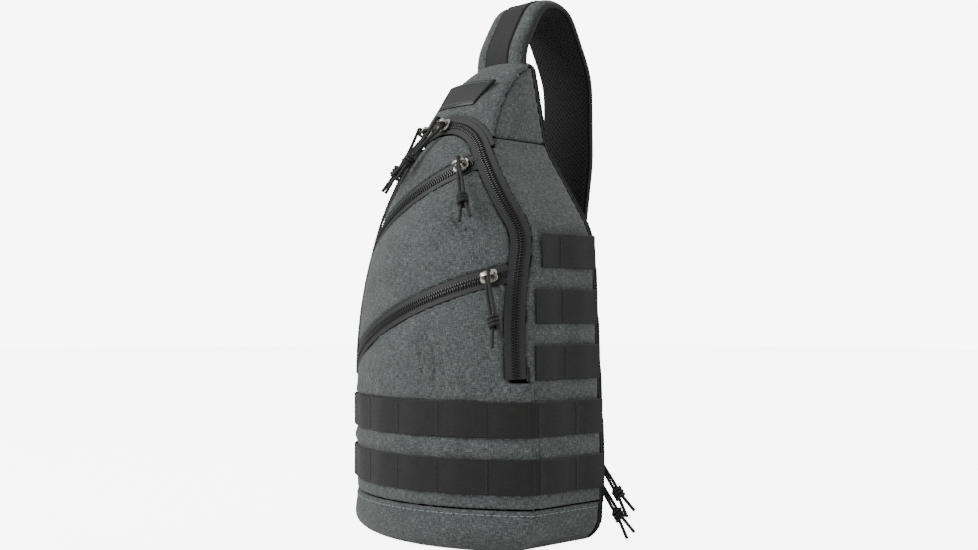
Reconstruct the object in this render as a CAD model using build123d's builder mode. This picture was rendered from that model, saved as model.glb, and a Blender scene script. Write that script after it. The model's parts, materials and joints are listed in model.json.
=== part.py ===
"""A one-strap sling bag: hollow tapered body, front flap closed by an arched zip, two slanting pocket
zips, rows of lashing webbing, a padded back, and a padded shoulder strap that clips to a lower corner.

Millimetres. +Z is up, the front faces -Y, +X is to the right of someone looking at the front. The
origin is on the ground under the middle of the body's depth.
"""

import os
from math import acos, asin, atan2, cos, degrees, radians, sin, sqrt, tan

from build123d import *

# ---- the body ----
DEPTH = 118.0            # front bulge to back face
BACK_Y = DEPTH / 2
HEIGHT = 369.0           # ground to the top of the yoke
BASE_HALF = 97.0         # half width at the ground
BELLY_HALF = 101.0       # half width at the widest level
BELLY_Z = 60.0
SHOULDER_HALF = 91.0
SHOULDER_Z = HEIGHT - 139.0
NECK_HALF = 43.0
NECK_Z = HEIGHT - 69.0
TOP_HALF = 28.0
BASE_CORNER_R = 22.0
BELLY_R = 200.0
SHOULDER_R = 60.0
NECK_R = 50.0
TOP_CORNER_R = 9.0

FRONT_R = 141.0          # plan radius of the bulging front
FRONT_AXIS_Y = FRONT_R - BACK_Y
BASE_EDGE_R = 14.0
HINGE_Z = 122.0          # the zip's two ends, where the flap folds down
ARCH_Z = HEIGHT - 47.5           # top of the arched zip
ARCH_R = 53.0
ARCH_SETBACK = 54.5      # how far the front has receded at the top of the arch
CREST_R = 41.0           # plan radius left at the top of the yoke

WALL = 4.0               # laminate: shell cloth, thin foam and lining
BACK_PAD = 6.0
BOOT_Z = 31.5            # top seam of the boot
YOKE_SEAM_Z = HEIGHT - 67.0      # seam between each side panel and the yoke
LINING = 1.2

# ---- zips ----
TAPE_T = 1.2
ZIP_HALF = 7.0           # half width of the main zip's band
POCKET_ZIP_HALF = 6.5
SLIT = 2.4               # between the two rows of coil, room for a slider's neck
COIL_W = 2.0
COIL_T = 1.0
MOVING_GAP = 0.3         # between the flap and the body along their edges

# ---- webbing ----
WEBBING_W = 25.4
WEBBING_T = 1.5
WEBBING_LIFT = 0.3
ROW_LOW_Z = 55.0         # middle of the lowest row
ROW_PITCH = 40.3
SIDE_ROWS = 3

# ---- shoulder strap ----
STRAP_W = 50.0
FOAM_T = 8.0
SKIN_T = 1.2
SPINE_W = 25.4

# ---- sliders, cords and knots ----
SLIDER_L = 13.0
SLIDER_W = 9.6
PLATE_LOW = COIL_T + 1.0
PLATE_T = 1.2
BAR_R = 1.15
CORD_D = 2.5
BAR_WRAP_R = CORD_D / 2 + BAR_R + 0.35
BAR_Z = PLATE_LOW + PLATE_T + BAR_WRAP_R + CORD_D / 2 + MOVING_GAP

os.makedirs("parts", exist_ok=True)


def finish(part, label):
    """Name a finished piece and write it."""
    part.label = label
    export_step(part, f"parts/{label}.step")


# ---------------------------------------------------------------- shared shapes


def outline(grow=0.0):
    """Front view of the body, grown outwards by `grow`; its own y is the bag's height."""
    with BuildSketch() as view:
        with BuildLine():
            half = FilletPolyline(
                (0, 0),
                (BASE_HALF, 0),
                (BELLY_HALF, BELLY_Z),
                (SHOULDER_HALF, SHOULDER_Z),
                (NECK_HALF, NECK_Z),
                (TOP_HALF, HEIGHT),
                (0, HEIGHT),
                radius=[BASE_CORNER_R, BELLY_R, SHOULDER_R, NECK_R, TOP_CORNER_R],
            )
            mirror(half, about=Plane.YZ)
        make_face()
        if grow:
            offset(amount=grow)
    return view.sketch


def arch(grow=0.0):
    """Front view of the opening closed by the main zip: the body's own sides under a round top."""
    slope = (SHOULDER_HALF - NECK_HALF) / (NECK_Z - SHOULDER_Z)
    corner_x = SHOULDER_HALF - slope * (ARCH_Z - SHOULDER_Z)
    with BuildSketch() as view:
        with BuildLine():
            half = FilletPolyline(
                (0, BELLY_Z - WEBBING_W),
                (BELLY_HALF, BELLY_Z - WEBBING_W),
                (BELLY_HALF, BELLY_Z),
                (SHOULDER_HALF, SHOULDER_Z),
                (corner_x, ARCH_Z),
                (0, ARCH_Z),
                radius=[1.0, BELLY_R, SHOULDER_R, ARCH_R],
            )
            mirror(half, about=Plane.YZ)
        make_face()
        if grow:
            offset(amount=grow)
    return view.sketch


def through(view, front=-BACK_Y - 12, back=BACK_Y):
    """A front view carried through the bag from y = front to y = back."""
    with BuildPart() as prism:
        with BuildSketch(Plane.XZ.offset(-back)):
            add(view)
        extrude(amount=back - front)
    return prism.part


def front_arcs():
    """Radius and end angle of the curve the front follows above the hinge, then of the yoke's own."""
    rise = ARCH_Z - HINGE_Z
    lean = 2 * atan2(ARCH_SETBACK, rise)
    curve = rise / sin(lean)
    run = FRONT_R - ARCH_SETBACK - CREST_R
    climb = HEIGHT - ARCH_Z
    bend = atan2(run, climb) - lean
    crown = sqrt(run**2 + climb**2) / (2 * sin(bend))
    return curve, lean, crown


def front_solid(inset=0.0):
    """Everything behind the bulging front, whose skin is set back by `inset`."""
    curve, lean, crown = front_arcs()
    crown_x = FRONT_R - ARCH_SETBACK - crown * cos(lean)
    crown_z = ARCH_Z - crown * sin(lean)
    top = asin((HEIGHT - inset - crown_z) / (crown - inset))
    edge_r = BASE_EDGE_R - inset
    side = Plane(origin=(0, FRONT_AXIS_Y, 0), x_dir=(0, -1, 0), z_dir=(-1, 0, 0))
    with BuildPart() as bulge:
        with BuildSketch(side):
            with BuildLine():
                Line((0, inset), (FRONT_R - BASE_EDGE_R, inset))
                CenterArc((FRONT_R - BASE_EDGE_R, BASE_EDGE_R), edge_r, -90, 90)
                Line((FRONT_R - inset, BASE_EDGE_R), (FRONT_R - inset, HINGE_Z))
                CenterArc((FRONT_R - curve, HINGE_Z), curve - inset, 0, degrees(lean))
                crest = CenterArc((crown_x, crown_z), crown - inset, degrees(lean), degrees(top - lean))
                Line(crest @ 1, (0, HEIGHT - inset))
                Line((0, HEIGHT - inset), (0, inset))
            make_face()
        revolve(axis=Axis((0, FRONT_AXIS_Y, 0), (0, 0, 1)))
    return bulge.part


def body_solid(inset=0.0, back=BACK_Y):
    """The whole bag as one lump, shrunk by `inset` (or grown, when it is negative)."""
    with BuildPart() as lump:
        add(front_solid(inset))
        add(through(outline(-inset), back=back), mode=Mode.INTERSECT)
    return lump.part


def slab(low, high, y_low=-200.0, y_high=200.0, x_low=-200.0, x_high=200.0):
    """A box that keeps only what lies between the given levels."""
    with BuildPart() as box:
        with BuildSketch(Plane.XY.offset(low)):
            with Locations(((x_low + x_high) / 2, (y_low + y_high) / 2)):
                Rectangle(x_high - x_low, y_high - y_low)
        extrude(amount=high - low)
    return box.part


def front_layer(outer, inner, view, low, high):
    """The skin of the front between two depths, trimmed to a front view and two levels."""
    with BuildPart() as layer:
        add(front_solid(outer))
        add(front_solid(inner), mode=Mode.SUBTRACT)
        add(through(view), mode=Mode.INTERSECT)
        add(slab(low, high), mode=Mode.INTERSECT)
    return layer.part


def half_width(z):
    """Half width of the body at a level on its long straight side."""
    share = (z - BELLY_Z) / (SHOULDER_Z - BELLY_Z)
    return BELLY_HALF + share * (SHOULDER_HALF - BELLY_HALF)


def plan_r(z):
    """Plan radius of the front at a level."""
    if z <= HINGE_Z:
        return FRONT_R
    curve = front_arcs()[0]
    return FRONT_R - (curve - sqrt(curve**2 - (z - HINGE_Z) ** 2))


def on_front(x, z):
    """The point of the front skin straight behind (x, z)."""
    return Vector(x, FRONT_AXIS_Y - sqrt(plan_r(z) ** 2 - x**2), z)


def front_normal(x, z):
    """The outward direction of the front skin at (x, z)."""
    lean = asin(max(0.0, z - HINGE_Z) / front_arcs()[0])
    turn = asin(x / plan_r(z))
    return Vector(sin(turn) * cos(lean), -cos(turn) * cos(lean), sin(lean))


main_view = outline()
arch_view = arch()
wall_inner = body_solid(WALL, back=BACK_Y - BACK_PAD)

# ---------------------------------------------------------------- body shell

with BuildPart() as boot:
    add(body_solid(back=BACK_Y - BACK_PAD))
    add(wall_inner, mode=Mode.SUBTRACT)
    add(slab(-1, BOOT_Z), mode=Mode.INTERSECT)
finish(boot.part, "boot")

BOARD_T = 1.6
BOARD_MARGIN = 3.0
BOARD_W = 2 * (BASE_HALF - BASE_CORNER_R - BOARD_MARGIN)
BOARD_DEPTH = 2 * (BACK_Y - BACK_PAD - 1)
with BuildPart() as base_board:
    with BuildSketch(Plane.XY.offset(WALL)):
        with Locations((0, FRONT_AXIS_Y)):
            Circle(FRONT_R - BASE_EDGE_R - BOARD_MARGIN)
        Rectangle(BOARD_W, BOARD_DEPTH, mode=Mode.INTERSECT)
    extrude(amount=BOARD_T)
finish(base_board.part, "base_board")

with BuildPart() as lower_front_panel:
    add(front_layer(0, WALL, main_view, BOOT_Z, HINGE_Z - MOVING_GAP))
    add(slab(0, HEIGHT, y_high=BACK_Y - BACK_PAD), mode=Mode.INTERSECT)
finish(lower_front_panel.part, "lower_front_panel")

YOKE_START_Z = NECK_Z - NECK_R * tan(radians(11.2)) * 0.83 + 1.0
with BuildPart() as yoke_front:
    add(front_layer(0, WALL, main_view, YOKE_START_Z, HEIGHT))
    add(through(arch_view), mode=Mode.SUBTRACT)
    add(slab(0, HEIGHT + 1, y_high=BACK_Y - BACK_PAD), mode=Mode.INTERSECT)
finish(yoke_front.part, "yoke_front")

# The side walls stand behind the front; under the zip they reach right up to its tape.
with BuildPart() as side_ring:
    add(through(main_view, back=BACK_Y - BACK_PAD))
    add(through(outline(-WALL), back=BACK_Y - BACK_PAD + 1), mode=Mode.SUBTRACT)
    add(front_solid(WALL), mode=Mode.INTERSECT)
with BuildPart() as zip_shelf:
    add(through(main_view, back=BACK_Y - BACK_PAD))
    add(through(outline(-WALL), back=BACK_Y - BACK_PAD + 1), mode=Mode.SUBTRACT)
    add(front_solid(TAPE_T), mode=Mode.INTERSECT)
    add(slab(HINGE_Z, YOKE_START_Z), mode=Mode.INTERSECT)

for side, x_low, x_high in (("left", -200.0, 0.0), ("right", 0.0, 200.0)):
    with BuildPart() as side_panel:
        add(side_ring.part)
        add(zip_shelf.part)
        add(slab(BOOT_Z, YOKE_SEAM_Z, x_low=x_low, x_high=x_high), mode=Mode.INTERSECT)
    finish(side_panel.part, f"side_panel_{side}")

    with BuildPart() as yoke_side:
        add(side_ring.part)
        add(slab(YOKE_SEAM_Z, HEIGHT + 1, x_low=x_low, x_high=x_high), mode=Mode.INTERSECT)
    finish(yoke_side.part, f"yoke_side_{side}")

# ---------------------------------------------------------------- back panel with its own zip

BACK_ZIP_X = 82.0
BACK_ZIP_LOW = 30.0
BACK_ZIP_HIGH = 205.0
FOAM_MARGIN = 3.0
COVER_T = 1.4
back_window = slab(BACK_ZIP_LOW, BACK_ZIP_HIGH, BACK_Y - BACK_PAD + LINING, 200,
                   BACK_ZIP_X - POCKET_ZIP_HALF, BACK_ZIP_X + POCKET_ZIP_HALF)

with BuildPart() as back_foam:
    add(through(outline(-FOAM_MARGIN), BACK_Y - BACK_PAD + LINING, BACK_Y - COVER_T))
    add(slab(0, HEIGHT - WALL), mode=Mode.INTERSECT)
    add(back_window, mode=Mode.SUBTRACT)
finish(back_foam.part, "back_foam")

with BuildPart() as back_cover:
    add(through(main_view, BACK_Y - BACK_PAD + LINING, BACK_Y))
    add(back_foam.part, mode=Mode.SUBTRACT)
    add(back_window, mode=Mode.SUBTRACT)
finish(back_cover.part, "back_cover")

with BuildPart() as rear_pocket_lining:
    add(through(main_view, BACK_Y - BACK_PAD, BACK_Y - BACK_PAD + LINING))
finish(rear_pocket_lining.part, "rear_pocket_lining")

with BuildPart() as back_zip:
    for sign in (-1, 1):
        edge = BACK_ZIP_X + sign * SLIT / 2
        tape = sorted((edge, BACK_ZIP_X + sign * POCKET_ZIP_HALF))
        coil = sorted((edge, edge + sign * COIL_W))
        add(slab(BACK_ZIP_LOW, BACK_ZIP_HIGH, BACK_Y - TAPE_T, BACK_Y, *tape))
        add(slab(BACK_ZIP_LOW, BACK_ZIP_HIGH, BACK_Y, BACK_Y + COIL_T, *coil))
finish(back_zip.part, "back_zip")

# ---------------------------------------------------------------- front flap

flap_low = HINGE_Z + MOVING_GAP
flap_view = arch(-2 * ZIP_HALF - MOVING_GAP / 2)


def arc_through(left, middle, right):
    """The plane, radius and angles of the circle through three points. Its x axis meets the middle one."""
    a = left - middle
    b = right - middle
    axis = b.cross(a)
    centre = middle + (b * a.dot(a) - a * b.dot(b)).cross(axis) * (-1 / (2 * axis.dot(axis)))
    spread = (middle - centre).length
    plane = Plane(origin=centre, x_dir=middle - centre, z_dir=axis)
    angles = [degrees(atan2(p.Y, p.X)) for p in (plane.to_local_coords(left), plane.to_local_coords(right))]
    return plane, spread, angles[0], angles[1]


# Each pocket zip runs on a circle through three points of the skin, so its slider turns about one axis.
POCKET_ZIPS = {
    "lower": arc_through(on_front(-80, 137), on_front(0, 172), on_front(74, 197.5)),
    "upper": arc_through(on_front(-67, 232), on_front(0, 266), on_front(34, 281)),
}
PARK_MARGIN = 2.0        # degrees of chain between a parked slider and the stop
RUN_OUT = 10.0           # degrees by which a pocket zip's line passes the flap's edges
ZIP_SAMPLES = 10


def pocket_band(plane, spread, start, end, low, high):
    """Front view of a band beside a pocket zip's line, between two distances across it."""
    lines = []
    for shift in (low, high):
        points = []
        for step in range(ZIP_SAMPLES + 1):
            way = 1 if end > start else -1
            low_end = start - way * RUN_OUT
            high_end = end + way * RUN_OUT
            turn = radians(low_end + (high_end - low_end) * step / ZIP_SAMPLES)
            here = plane.from_local_coords(Vector(spread * cos(turn), spread * sin(turn), 0))
            along = plane.z_dir.cross(here - plane.origin)
            across = Vector(-along.Z, 0, along.X).normalized() * (1 if along.X > 0 else -1)
            points.append((here.X + across.X * shift, here.Z + across.Z * shift))
        lines.append(points)
    with BuildSketch() as band:
        with BuildLine():
            first = Spline(*lines[0])
            second = Spline(*lines[1])
            Line(first @ 0, second @ 0)
            Line(first @ 1, second @ 1)
        make_face()
    return band.sketch


def pocket_tapes(*zip_line):
    """Both tapes of a pocket zip with their rows of coil."""
    half = SLIT / 2
    with BuildPart() as tapes:
        for low, high in ((half, POCKET_ZIP_HALF), (-POCKET_ZIP_HALF, -half)):
            add(front_layer(0, TAPE_T, pocket_band(*zip_line, low, high), HINGE_Z, ARCH_Z))
        for low, high in ((half, half + COIL_W), (-half - COIL_W, -half)):
            add(front_layer(-COIL_T, 0, pocket_band(*zip_line, low, high), HINGE_Z, ARCH_Z))
        add(through(flap_view), mode=Mode.INTERSECT)
        add(slab(flap_low, ARCH_Z), mode=Mode.INTERSECT)
    return tapes.part


with BuildPart() as flap_panel:
    add(front_layer(0, WALL, flap_view, flap_low, ARCH_Z))
    for zip_line in POCKET_ZIPS.values():
        add(through(pocket_band(*zip_line, -POCKET_ZIP_HALF, POCKET_ZIP_HALF)), mode=Mode.SUBTRACT)
panels = flap_panel.part.solids().sort_by(Axis.Z)
for name, panel in zip(("bottom", "middle", "top"), panels):
    finish(Part() + panel, f"flap_panel_{name}")

with BuildPart() as pocket_lining:
    add(front_layer(WALL, WALL + LINING, flap_view, flap_low, ARCH_Z))
finish(pocket_lining.part, "pocket_lining")

for pocket, zip_line in POCKET_ZIPS.items():
    finish(pocket_tapes(*zip_line), f"{pocket}_pocket_zip")

# ---------------------------------------------------------------- main zip


def zip_band(from_edge, to_edge, view_low):
    """The front view of a band that follows the arch, between two distances from its edge."""
    with BuildSketch() as band:
        add(arch(-from_edge) if from_edge else arch_view)
        add(arch(-to_edge), mode=Mode.SUBTRACT)
        with Locations((0, view_low - HEIGHT / 2)):
            Rectangle(3 * BELLY_HALF, HEIGHT, mode=Mode.SUBTRACT)
    return band.sketch


BODY_EDGE = ZIP_HALF - SLIT / 2
FLAP_EDGE = ZIP_HALF + SLIT / 2
body_tape = zip_band(0, BODY_EDGE, flap_low)
body_coil = zip_band(BODY_EDGE - COIL_W, BODY_EDGE, flap_low)
flap_tape = zip_band(FLAP_EDGE, 2 * ZIP_HALF, flap_low)
flap_coil = zip_band(FLAP_EDGE, FLAP_EDGE + COIL_W, flap_low)

with BuildPart() as main_zip_body_half:
    add(front_layer(0, TAPE_T, body_tape, HINGE_Z, ARCH_Z + 1))
    add(front_layer(-COIL_T, 0, body_coil, HINGE_Z, ARCH_Z + 1))
finish(main_zip_body_half.part, "main_zip_body_half")

with BuildPart() as main_zip_flap_half:
    add(front_layer(0, TAPE_T, flap_tape, HINGE_Z, ARCH_Z + 1))
    add(front_layer(-COIL_T, 0, flap_coil, HINGE_Z, ARCH_Z + 1))
finish(main_zip_flap_half.part, "main_zip_flap_half")

# ---------------------------------------------------------------- webbing


def webbing_band(middle_z):
    """One level of webbing, lying just clear of the whole body."""
    with BuildPart() as band:
        add(body_solid(-WEBBING_LIFT - WEBBING_T))
        add(body_solid(-WEBBING_LIFT), mode=Mode.SUBTRACT)
        add(slab(middle_z - WEBBING_W / 2, middle_z + WEBBING_W / 2, y_high=BACK_Y), mode=Mode.INTERSECT)
    return band.part


finish(webbing_band(ROW_LOW_Z), "webbing_row_lower")
finish(webbing_band(ROW_LOW_Z + ROW_PITCH), "webbing_row_upper")

ZIP_TO_WEBBING = 6.0
for row in range(SIDE_ROWS):
    row_z = ROW_LOW_Z + (row + 2) * ROW_PITCH
    row_band = webbing_band(row_z)
    corner_y = on_front(half_width(row_z), row_z).Y
    for side, x_low, x_high in (("left", -200.0, 0.0), ("right", 0.0, 200.0)):
        with BuildPart() as side_webbing:
            add(row_band)
            add(slab(0, HEIGHT, corner_y + ZIP_TO_WEBBING, 200, x_low, x_high), mode=Mode.INTERSECT)
        finish(side_webbing.part, f"side_webbing_{side}_{row + 1}")

# ---------------------------------------------------------------- label patch

LABEL_T = 0.8
LABEL_LOW = HEIGHT - 39.0
LABEL_HIGH = HEIGHT - 19.0
with BuildSketch() as label_view:
    with BuildLine():
        Polyline((-25, LABEL_LOW), (16, LABEL_LOW), (24, LABEL_HIGH), (-25, LABEL_HIGH), close=True)
    make_face()
with BuildPart() as label_patch:
    add(front_solid(-LABEL_T))
    add(front_solid(0), mode=Mode.SUBTRACT)
    add(through(label_view.sketch), mode=Mode.INTERSECT)
    add(slab(0, HEIGHT, y_high=BACK_Y - BACK_PAD), mode=Mode.INTERSECT)
finish(label_patch.part, "label_patch")

# ---------------------------------------------------------------- padded strap

STRAP_LINE = [                 # side view (y, z) of the pad's middle, from the yoke over the shoulder
    (47.8, HEIGHT - 12),
    (48.0, HEIGHT + 10),
    (70, HEIGHT + 49),
    (98, HEIGHT + 50),
    (126, HEIGHT - 3),
    (127, HEIGHT - 73),
    (113, 205),
]
STRAP_RADII = [30, 18, 20, 60, 90]


def strap_edge(shift):
    """The pad's side line moved outwards by `shift`: its corners on the mitre, its bends with it."""
    points = []
    radii = []
    for i, (y, z) in enumerate(STRAP_LINE):
        here = Vector(y, z)
        sides = []
        if i > 0:
            sides.append((here - Vector(*STRAP_LINE[i - 1])).normalized())
        if i < len(STRAP_LINE) - 1:
            sides.append((Vector(*STRAP_LINE[i + 1]) - here).normalized())
        normals = [Vector(-side.Y, side.X) for side in sides]
        mean = (normals[0] + normals[-1]).normalized()
        points.append(here + mean * (shift / mean.dot(normals[0])))
        if len(sides) == 2:
            clockwise = sides[0].X * sides[1].Y - sides[0].Y * sides[1].X < 0
            radii.append(STRAP_RADII[i - 1] + (shift if clockwise else -shift))
    return [(p.X, p.Y) for p in points], radii


def strap_layer(inner, outer, width):
    """One layer of the pad, between two distances from its middle line."""
    inner_points, inner_radii = strap_edge(inner)
    outer_points, outer_radii = strap_edge(outer)
    with BuildPart() as layer:
        with BuildSketch(Plane.YZ):
            with BuildLine():
                low = FilletPolyline(*inner_points, radius=inner_radii)
                high = FilletPolyline(*outer_points, radius=outer_radii)
                Line(low @ 0, high @ 0)
                Line(low @ 1, high @ 1)
            make_face()
        extrude(amount=width / 2, both=True)
    return layer.part


for label, inner, outer, width in (
    ("strap_foam", -FOAM_T / 2, FOAM_T / 2, STRAP_W),
    ("strap_mesh", -FOAM_T / 2 - SKIN_T, -FOAM_T / 2, STRAP_W),
    ("strap_cover", FOAM_T / 2, FOAM_T / 2 + SKIN_T, STRAP_W),
    ("strap_spine_webbing", FOAM_T / 2 + SKIN_T, FOAM_T / 2 + SKIN_T + WEBBING_T, SPINE_W),
):
    with BuildPart() as strap_piece:
        add(strap_layer(inner, outer, width))
        add(slab(0, HEIGHT, -100, BACK_Y + 20), mode=Mode.SUBTRACT)
    finish(strap_piece.part, label)

# ---------------------------------------------------------------- lower strap and its buckle

PAD_END = Vector(0, STRAP_LINE[-1][0], STRAP_LINE[-1][1])
WING_TIP = Vector(-112, BACK_Y, 66)
run_down = Vector(PAD_END.X - WING_TIP.X, 0, PAD_END.Z - WING_TIP.Z)
RIBBON_LENGTH = run_down.length
ribbon = Plane(origin=WING_TIP, x_dir=run_down, z_dir=Vector(0, 1, 0).cross(run_down) * -1)
WING_T = 2.5
BUCKLE_Y = 11.0          # middle of the buckle behind the back face
BUCKLE_W = 36.0
BUCKLE_T = 11.0
SOCKET_START = 26.0
SOCKET_END = 60.0
CAVITY_START = 38.0
CAVITY_W = 30.0
CAVITY_T = 7.0
PLUG_END = 78.0
PLUG_T = 9.0
PLUG_TRAVEL = 40.0
THREAD_Y = BUCKLE_Y + PLUG_T / 2 + 0.4 + WEBBING_T / 2    # webbing lies on the plug, under its bridge
BEND_START = PLUG_END + PLUG_TRAVEL + 6


def ribbon_box(start, end, middle, thick, low, high):
    """A box in the strap's own frame: along it, through its thickness, and across its width."""
    with BuildPart() as box:
        with BuildSketch(ribbon.offset(low)):
            with Locations(((start + end) / 2, middle)):
                Rectangle(end - start, thick)
        extrude(amount=high - low)
    return box.part


def ribbon_strip(points, radii):
    """A length of webbing whose middle follows (along, behind) points in the strap's own frame."""
    with BuildPart() as strip:
        with BuildSketch(ribbon.offset(-WEBBING_W / 2)):
            with BuildLine() as middle:
                FilletPolyline(*points, radius=radii)
            trace(line_width=WEBBING_T)
        extrude(amount=WEBBING_W)
    return strip.part


lower_webbing = ribbon_strip(
    [(66, THREAD_Y), (BEND_START, THREAD_Y), (RIBBON_LENGTH - 8, PAD_END.Y - BACK_Y - 8)],
    [18],
)
finish(lower_webbing, "strap_lower_webbing")

pad_end_frame = Plane(origin=PAD_END, x_dir=(1, 0, 0),
                      z_dir=(0, STRAP_LINE[-1][0] - STRAP_LINE[-2][0], STRAP_LINE[-1][1] - STRAP_LINE[-2][1]))
with BuildPart() as strap_end:
    with BuildSketch(pad_end_frame):
        Rectangle(STRAP_W - 4, FOAM_T)
    with BuildSketch(pad_end_frame.offset(14)):
        Rectangle(30, FOAM_T)
    loft()
    add(lower_webbing, mode=Mode.SUBTRACT)
finish(Part() + strap_end.part.solids().sort_by(SortBy.VOLUME)[-1], "strap_end")

wing_stub = ribbon_strip(
    [(-14, WING_T + WEBBING_T / 2), (6, WING_T + WEBBING_T / 2), (20, BUCKLE_Y), (33, BUCKLE_Y)],
    [8, 8],
)
finish(wing_stub, "corner_webbing")

with BuildPart() as corner_wing:
    with BuildSketch(Plane.XZ.offset(-BACK_Y - WING_T)):
        with BuildLine():
            wing_edge = [(-58, 24), (-92, 24), (-122, 58), (-108, 76), (-88, 88)]
            Polyline(*wing_edge, close=True)
        make_face()
        fillet(vertices(), 4)
    extrude(amount=WING_T)
finish(corner_wing.part, "corner_wing")

with BuildPart() as buckle_socket:
    add(ribbon_box(SOCKET_START, SOCKET_END, BUCKLE_Y, BUCKLE_T, -BUCKLE_W / 2, BUCKLE_W / 2))
    fillet(buckle_socket.edges().filter_by(Axis(ribbon.origin, ribbon.z_dir)), 2.5)
    cavity = ribbon_box(CAVITY_START, SOCKET_END + 1, BUCKLE_Y, CAVITY_T, -CAVITY_W / 2, CAVITY_W / 2)
    add(cavity, mode=Mode.SUBTRACT)
    for low in (-BUCKLE_W, CAVITY_W / 2 - 1):
        high = low + BUCKLE_W - CAVITY_W / 2 + 1
        add(ribbon_box(43, 54, BUCKLE_Y, CAVITY_T, low, high), mode=Mode.SUBTRACT)
    add(wing_stub, mode=Mode.SUBTRACT)
finish(buckle_socket.part, "buckle_socket")

with BuildPart() as buckle_plug:
    add(ribbon_box(SOCKET_END + MOVING_GAP, PLUG_END, BUCKLE_Y, PLUG_T, -BUCKLE_W / 2, BUCKLE_W / 2))
    fillet(buckle_plug.edges().filter_by(Axis(ribbon.origin, ribbon.z_dir)), 2)
    add(ribbon_box(CAVITY_START + 3, SOCKET_END + 1, BUCKLE_Y, 4, -4, 4))
    post_low = PLUG_T / 2 - 0.1
    bridge_low = THREAD_Y - BUCKLE_Y + WEBBING_T / 2 + 0.7
    bridge_top = bridge_low + 2.2
    for low in (-BUCKLE_W / 2, WEBBING_W / 2 + 0.9):
        width = BUCKLE_W / 2 - WEBBING_W / 2 - 0.9
        middle = BUCKLE_Y + (post_low + bridge_top) / 2
        add(ribbon_box(67, 74, middle, bridge_top - post_low, low, low + width))
    add(ribbon_box(67, 74, BUCKLE_Y + (bridge_low + bridge_top) / 2, 2.2, -BUCKLE_W / 2, BUCKLE_W / 2))
finish(buckle_plug.part, "buckle_plug")

for label, sign in (("a", -1), ("b", 1)):
    with BuildPart() as arm:
        low, high = sorted((sign * 8.6, sign * 12.4))
        add(ribbon_box(CAVITY_START + 2, SOCKET_END, BUCKLE_Y, 4.6, low, high))
    finish(arm.part, f"buckle_arm_{label}")

# ---------------------------------------------------------------- sliders with cord pulls

NECK_L = 3.5
NECK_T = 0.6
LOWER_PLATE_T = 1.0
LEG_T = 1.5
LEG_X = 4.6
STRAND_APART = 3.2
PULL_REACH = 32.0
KNOT_DROP = {"lower_pocket_slider": -4.0}
USUAL_DROP = 1.0
KNOT_D = 9.4
KNOT_L = 12.0
TAIL_L = 13.0
TAIL_SPREAD = 10.0


def local_box(frame, low, high, x_size, y_size, y_middle=0.0):
    """A box standing on a frame, between two heights."""
    with BuildPart() as box:
        with BuildSketch(frame.offset(low)):
            with Locations((0, y_middle)):
                Rectangle(x_size, y_size)
        extrude(amount=high - low)
    return box.part


def slider_body(frame, lower_half=False):
    """Upper plate, neck, lower plate and the bridge the cord loops around. x runs along the teeth."""
    plate_top = PLATE_LOW + PLATE_T
    under = -TAPE_T - 0.9
    lower_w = SLIDER_W / 2 if lower_half else SLIDER_W
    lower_y = -SLIDER_W / 4 if lower_half else 0.0
    with BuildPart() as slider:
        add(local_box(frame, PLATE_LOW, plate_top, SLIDER_L, SLIDER_W))
        add(local_box(frame, under - LOWER_PLATE_T, under, SLIDER_L - 1, lower_w, lower_y))
        add(local_box(frame, under - LOWER_PLATE_T, plate_top, NECK_L, NECK_T))
        for x in (-LEG_X, LEG_X):
            foot_at = frame.from_local_coords(Vector(x, 0, 0))
            foot = Plane(origin=foot_at, x_dir=frame.x_dir, z_dir=frame.z_dir)
            add(local_box(foot, plate_top - 0.1, BAR_Z + BAR_R - 0.3, LEG_T, 2 * BAR_R))
        with BuildSketch(Plane(origin=frame.from_local_coords(Vector(-LEG_X, 0, BAR_Z)), z_dir=frame.x_dir)):
            Circle(BAR_R)
        extrude(amount=2 * LEG_X)
    return slider.part


def bend_radii(points):
    """A bend at every corner that uses 0.47 of its shorter run."""
    radii = []
    for before, here, after in zip(points, points[1:], points[2:]):
        run_in = here - before
        run_out = after - here
        cosine = max(-1.0, min(1.0, run_in.normalized().dot(run_out.normalized())))
        radii.append(0.47 * min(run_in.length, run_out.length) / tan(acos(cosine) / 2))
    return radii


def cord_points(frame, slant, drop):
    """Corners of the two strands of a pull: one leaves under the bridge, one wraps over it."""
    side = 1 if slant >= 0 else -1
    turn = radians(slant)
    away = Vector(sin(turn), -cos(turn), 0)
    apart = Vector(cos(turn), sin(turn), 0) * side
    bar = Vector(0, 0, BAR_Z)
    half = Vector(side * STRAND_APART / 2, 0, 0)
    r = BAR_WRAP_R
    hexagon = r / cos(radians(30))
    end = bar + away * PULL_REACH - Vector(0, 0, drop)
    under_end = end - apart * (STRAND_APART / 2)
    over_end = end + apart * (STRAND_APART / 2)
    under = [
        bar - half + Vector(0, 1.0, -r),
        bar - half + Vector(0, -4.5, -r),
        under_end - away * 18.5 + Vector(0, 0, -0.5),
        under_end - away * 9.0,
        under_end,
    ]
    over = [
        bar + half + Vector(0, 0, -r),
        bar + half + Vector(0, hexagon / 2, -r),
        bar + half + Vector(0, hexagon, 0),
        bar + half + Vector(0, hexagon / 2, r),
        bar + half + Vector(0, -hexagon / 2, r),
        over_end - away * 24.6 + Vector(0, 0, 2.3),
        over_end - away * 15.5 + Vector(0, 0, 0.6),
        over_end - away * 7.5,
        over_end,
    ]
    return [[frame.from_local_coords(p) for p in line] for line in (under, over)]


def strand(points):
    """A cord along the given corners."""
    with BuildPart() as cord:
        with BuildLine() as path:
            FilletPolyline(*points, radius=bend_radii(points))
        with BuildSketch(Plane(origin=path.line @ 0, z_dir=path.line % 0)):
            Circle(CORD_D / 2)
        sweep(path=path.line)
    return cord.part


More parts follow.
